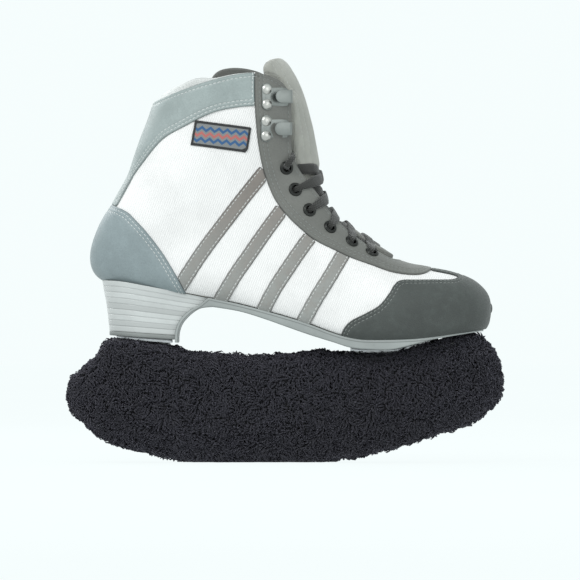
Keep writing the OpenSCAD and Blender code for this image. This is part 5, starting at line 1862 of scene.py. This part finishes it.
def make_cover_trim():
    dressed("slot_lining", "cover_lining", "cover", "cover_lining", 0.35)
    loop = np.array(ELASTIC_PATH, float)
    ring = np.concatenate([loop, (loop * [1, -1, 1])[-2:0:-1]])
    closed_ring = np.concatenate([ring[-2:], ring, ring[:3]])
    fine = spline_at(closed_ring, np.linspace(2, 2 + len(ring), len(ring) * 10, endpoint=False))
    way = unit(np.roll(fine, -1, 0) - np.roll(fine, 1, 0))
    across = unit(np.cross(way, [0, 0, 1.0]))
    up = np.cross(across, way)
    a = np.linspace(0, 2 * pi, 12, endpoint=False)
    swell = 1.32 + 0.13 * np.sin(np.arange(len(fine)) * 2 * pi / 5)
    body = fine[:, None] + swell[:, None, None] * (across[:, None] * np.cos(a)[:, None]
                                                   + up[:, None] * np.sin(a)[:, None])
    piece = object_from(
        "gathered_elastic", body.reshape(-1, 3) * MM, tube_sides(*body.shape[:2], loop=True))
    turn_outward(piece)
    settle(piece, "cover", "elastic", ["cover_elastic"])


# --- Stage ---
def area_light(name, place, aim, size, power, tint=(1, 1, 1)):
    bpy.ops.object.light_add(type="AREA", location=place)
    lamp = bpy.context.active_object
    lamp.name = name
    lamp.data.shape = "DISK"
    lamp.data.size = size
    lamp.data.energy = power
    lamp.data.color = tint
    lamp.rotation_euler = (Vector(aim) - Vector(place)).to_track_quat("-Z", "Y").to_euler()
    return lamp


def make_stage(look, sizes):
    backdrop = tuple(look.backdrop)
    f = Finish("pale_floor", Emission_Color=(*shade(backdrop, 0.955), 1), Emission_Strength=1.0,
               Specular_IOR_Level=0.0)
    wide = f.noise(2, 2)
    f.link("Base Color", f.mix(wide.between(0.3, 0.7), shade(backdrop, 0.042), shade(backdrop, 0.045)))
    f.link("Roughness", (wide * 0.1 + 0.8).held())
    bpy.ops.mesh.primitive_plane_add(size=14, location=(0, 0, 0))
    floor = bpy.context.active_object
    floor.name = "stage_floor"
    floor.data.materials.append(f.material)
    floor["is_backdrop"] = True
    world = bpy.data.worlds.new("pale_world")
    world.use_nodes = True
    sky = world.node_tree.nodes["Background"]
    sky.inputs["Color"].default_value = (*backdrop, 1)
    sky.inputs["Strength"].default_value = 1.0
    bpy.context.scene.world = world
    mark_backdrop(area_light("key_light", (-0.75, -1.15, 1.25), (0, 0, 0.12), 0.9, 15.0),
             area_light("fill_light", (1.0, -1.3, 0.5), (0.02, 0, 0.1), 1.2, 4.0),
             area_light("rim_light", (-0.7, 1.0, 0.9), (0, 0, 0.15), 0.8, 7.0))
    data = bpy.data.cameras.new("main_camera")
    data.lens, data.sensor_width = 500, 36
    distance = sizes.view_width * data.lens / data.sensor_width
    camera = placed("main_camera", data)
    camera.location = (0.00396, -0.02 - distance, 0.1142)
    camera.rotation_euler = (radians(90), 0, 0)
    camera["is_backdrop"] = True
    bpy.context.scene.camera = camera
    bpy.context.scene.view_settings.view_transform = "Standard"


# --- The add-on ---
def colour(label, hint, value):
    return bpy.props.FloatVectorProperty(
        name=label, description=hint, default=value, subtype="COLOR", size=3, min=0, max=1)


def length(label, hint, value):
    return bpy.props.FloatProperty(
        name=label, description=hint, default=value, unit="LENGTH", subtype="DISTANCE", precision=4)


class SkateLook(bpy.types.PropertyGroup):
    """Colours of the skate's materials."""

    textile: colour("Textile", "Ribbed quarters and vamp", (0.735, 0.73, 0.725))
    toe: colour("Toe cap", "Leather of the toe cap", (0.037, 0.044, 0.041))
    counter: colour("Heel counter", "Leather round the heel", (0.205, 0.25, 0.262))
    collar: colour("Collar", "Leather band round the collar", (0.25, 0.293, 0.29))
    facing: colour("Facing", "Leather under the eyelets", (0.115, 0.118, 0.108))
    band: colour("Bands", "Side bands at the facing", (0.17, 0.152, 0.138))
    band_low: colour("Bands, low end", "Side bands at the sole", (0.26, 0.27, 0.26))
    tongue: colour("Tongue", "Padded tongue", (0.41, 0.415, 0.375))
    lace: colour("Lace", "Flat lace", (0.021, 0.022, 0.019))
    sole: colour("Sole", "Rubber outsole", (0.27, 0.292, 0.287))
    heel: colour("Heel", "Stacked heel", (0.46, 0.48, 0.475))
    cover: colour("Cover", "Plush blade cover", (0.0085, 0.0085, 0.0125))
    backdrop: colour("Backdrop", "Floor and surroundings", (0.92, 0.985, 0.985))


class SkateSizes(bpy.types.PropertyGroup):
    """Sizes of the skate's details."""

    stitch_pitch: length("Stitch pitch", "Distance from one stitch to the next", 0.0029)
    stitch_length: length("Stitch length", "Length of one stitch", 0.00215)
    lace_width: length("Lace width", "Width of the flat lace", 0.007)
    lace_thickness: length("Lace thickness", "Thickness of the flat lace", 0.0014)
    pile_length: length("Pile length", "Height of the cover's tufts", 0.0044)
    pile_radius: length("Pile radius", "Half the thickness of a tuft", 0.00074)
    edge_round: length("Panel edge", "Rounding of a sewn panel's edge", 0.0009)
    view_width: length("View width", "Width that the camera sees at the skate", 0.3828)


def require(*names):
    """Stops the build when an operator hasn't left what it should have made."""
    missing = [n for n in names if n not in bpy.data.objects]
    if missing:
        raise RuntimeError(f"not made: {missing}")
    return {"FINISHED"}


class SKATE_OT_finishes(bpy.types.Operator):
    """Mix the materials from the colours in the panel"""

    bl_idname = "skate.finishes"
    bl_label = "Materials"

    def execute(self, context):
        sizes = context.scene.skate_sizes
        STITCH.update(pitch=sizes.stitch_pitch / MM, length=sizes.stitch_length / MM)
        PILE.update(length=sizes.pile_length / MM, radius=sizes.pile_radius / MM)
        LACE.update(width=round(sizes.lace_width / MM, 5), thick=round(sizes.lace_thickness / MM, 5))
        PANEL.update(edge=round(sizes.edge_round / MM, 5))
        make_finishes(context.scene.skate_look)
        dress_hidden()
        return {"FINISHED"}


class SKATE_OT_quarters(bpy.types.Operator):
    """Cut the ribbed textile quarters and the vamp"""

    bl_idname = "skate.quarters"
    bl_label = "Quarters and vamp"

    def execute(self, context):
        make_quarters(panel_fields())
        make_vamp(panel_fields())
        return require("sewn_quarter_lateral", "sewn_quarter_medial", "sewn_vamp")


class SKATE_OT_leathers(bpy.types.Operator):
    """Sew on the toe cap, the heel counter, the collar band and the two facings"""

    bl_idname = "skate.leathers"
    bl_label = "Toe cap, counter, collar and facings"

    def execute(self, context):
        for make in (make_toe_cap, make_counter, make_collar, make_eyestays):
            make(panel_fields())
        return require("sewn_toe_cap", "sewn_counter", "sewn_collar_band", "sewn_eyestay_medial")


class SKATE_OT_bands(bpy.types.Operator):
    """Sew on the slanting side bands and the woven patch"""

    bl_idname = "skate.bands"
    bl_label = "Side bands and woven patch"

    def execute(self, context):
        make_bands(panel_fields())
        make_label(panel_fields())
        return require("sewn_band_lateral_1", "sewn_band_medial_4", "sewn_label")


class SKATE_OT_lining(bpy.types.Operator):
    """Line the boot and lay the footbed in it"""

    bl_idname = "skate.lining"
    bl_label = "Lining and footbed"

    def execute(self, context):
        make_lining(panel_fields())
        make_far_lip(panel_fields())
        make_footbed()
        return require("padded_lining", "sewn_collar_lip", "cushioned_footbed")


class SKATE_OT_tongue(bpy.types.Operator):
    """Pad the tongue, which bends at the top crossing of the lace"""

    bl_idname = "skate.tongue"
    bl_label = "Tongue"

    def execute(self, context):
        make_tongue(panel_fields())
        return require("padded_tongue", "tongue_stitches")


class SKATE_OT_lace(bpy.types.Operator):
    """Lace the boot and tuck the lace's free ends in"""

    bl_idname = "skate.lace"
    bl_label = "Lace"

    def execute(self, context):
        make_lace()
        make_lace_ends()
        return require("lace_crossings", "free_lace_lateral", "free_lace_medial")


class SKATE_OT_fittings(bpy.types.Operator):
    """Set the eyelets, then bend the lace hooks and rivet them on"""

    bl_idname = "skate.fittings"
    bl_label = "Eyelets and lace hooks"

    def execute(self, context):
        make_eyelets()
        make_hooks()
        return require("eyelets_ring_lateral", "lace_hook_medial_lower", "hook_rivet_heads")


class SKATE_OT_sole(bpy.types.Operator):
    """Mould the outsole, stack the heel and put its lift under it"""

    bl_idname = "skate.sole"
    bl_label = "Sole and heel"

    def execute(self, context):
        make_outsole()
        make_heel()
        return require("rubber_outsole", "stacked_heel", "heel_lift_layer")


class SKATE_OT_blade(bpy.types.Operator):
    """Break the edges of the blade, its stanchions, plates and screws"""

    bl_idname = "skate.blade"
    bl_label = "Blade set"

    def execute(self, context):
        make_blade_set()
        return require("blade_steel_bar", "pressed_sole_plate", "turned_sole_screws")


class SKATE_OT_cover(bpy.types.Operator):
    """Stuff the cover, set its lining and elastic, and raise its pile"""

    bl_idname = "skate.cover"
    bl_label = "Plush cover"

    def execute(self, context):
        make_cover_shell()
        make_cover_trim()
        make_pile()
        return require("plush_shell", "slot_lining", "gathered_elastic", "plush_pile_1")


class SKATE_OT_stage(bpy.types.Operator):
    """Set up the floor, the lights and the camera"""

    bl_idname = "skate.stage"
    bl_label = "Stage"

    def execute(self, context):
        make_stage(context.scene.skate_look, context.scene.skate_sizes)
        return require("stage_floor", "main_camera")


STEPS = (SKATE_OT_finishes, SKATE_OT_quarters, SKATE_OT_leathers, SKATE_OT_bands, SKATE_OT_lining,
         SKATE_OT_tongue, SKATE_OT_lace, SKATE_OT_fittings, SKATE_OT_sole, SKATE_OT_blade,
         SKATE_OT_cover, SKATE_OT_stage)


class SKATE_PT_workshop(bpy.types.Panel):
    """Lists the skate's colours, sizes and steps"""

    bl_idname = "SKATE_PT_workshop"
    bl_label = "Ice skate"
    bl_space_type = "VIEW_3D"
    bl_region_type = "UI"
    bl_category = "Skate"

    def draw(self, context):
        for group in (context.scene.skate_look, context.scene.skate_sizes):
            box = self.layout.box()
            for key in group.__annotations__:
                box.prop(group, key)
        for step in STEPS:
            self.layout.operator(step.bl_idname)


CLASSES = (SkateLook, SkateSizes, *STEPS, SKATE_PT_workshop)


def register():
    for cls in CLASSES:
        bpy.utils.register_class(cls)
    bpy.types.Scene.skate_look = bpy.props.PointerProperty(type=SkateLook)
    bpy.types.Scene.skate_sizes = bpy.props.PointerProperty(type=SkateSizes)


def unregister():
    del bpy.types.Scene.skate_sizes
    del bpy.types.Scene.skate_look
    for cls in reversed(CLASSES):
        bpy.utils.unregister_class(cls)


def plain(value):
    """A row of numbers or of rows, as plain lists."""
    return [plain(v) for v in value] if hasattr(value, "__len__") else float(value)


def main():
    register()
    for step in STEPS:
        family, verb = step.bl_idname.split(".")
        getattr(getattr(bpy.ops, family), verb)()
    {"cad": plain(CAD_BOX), "new": plain(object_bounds())}


if __name__ == "__main__":
    main()
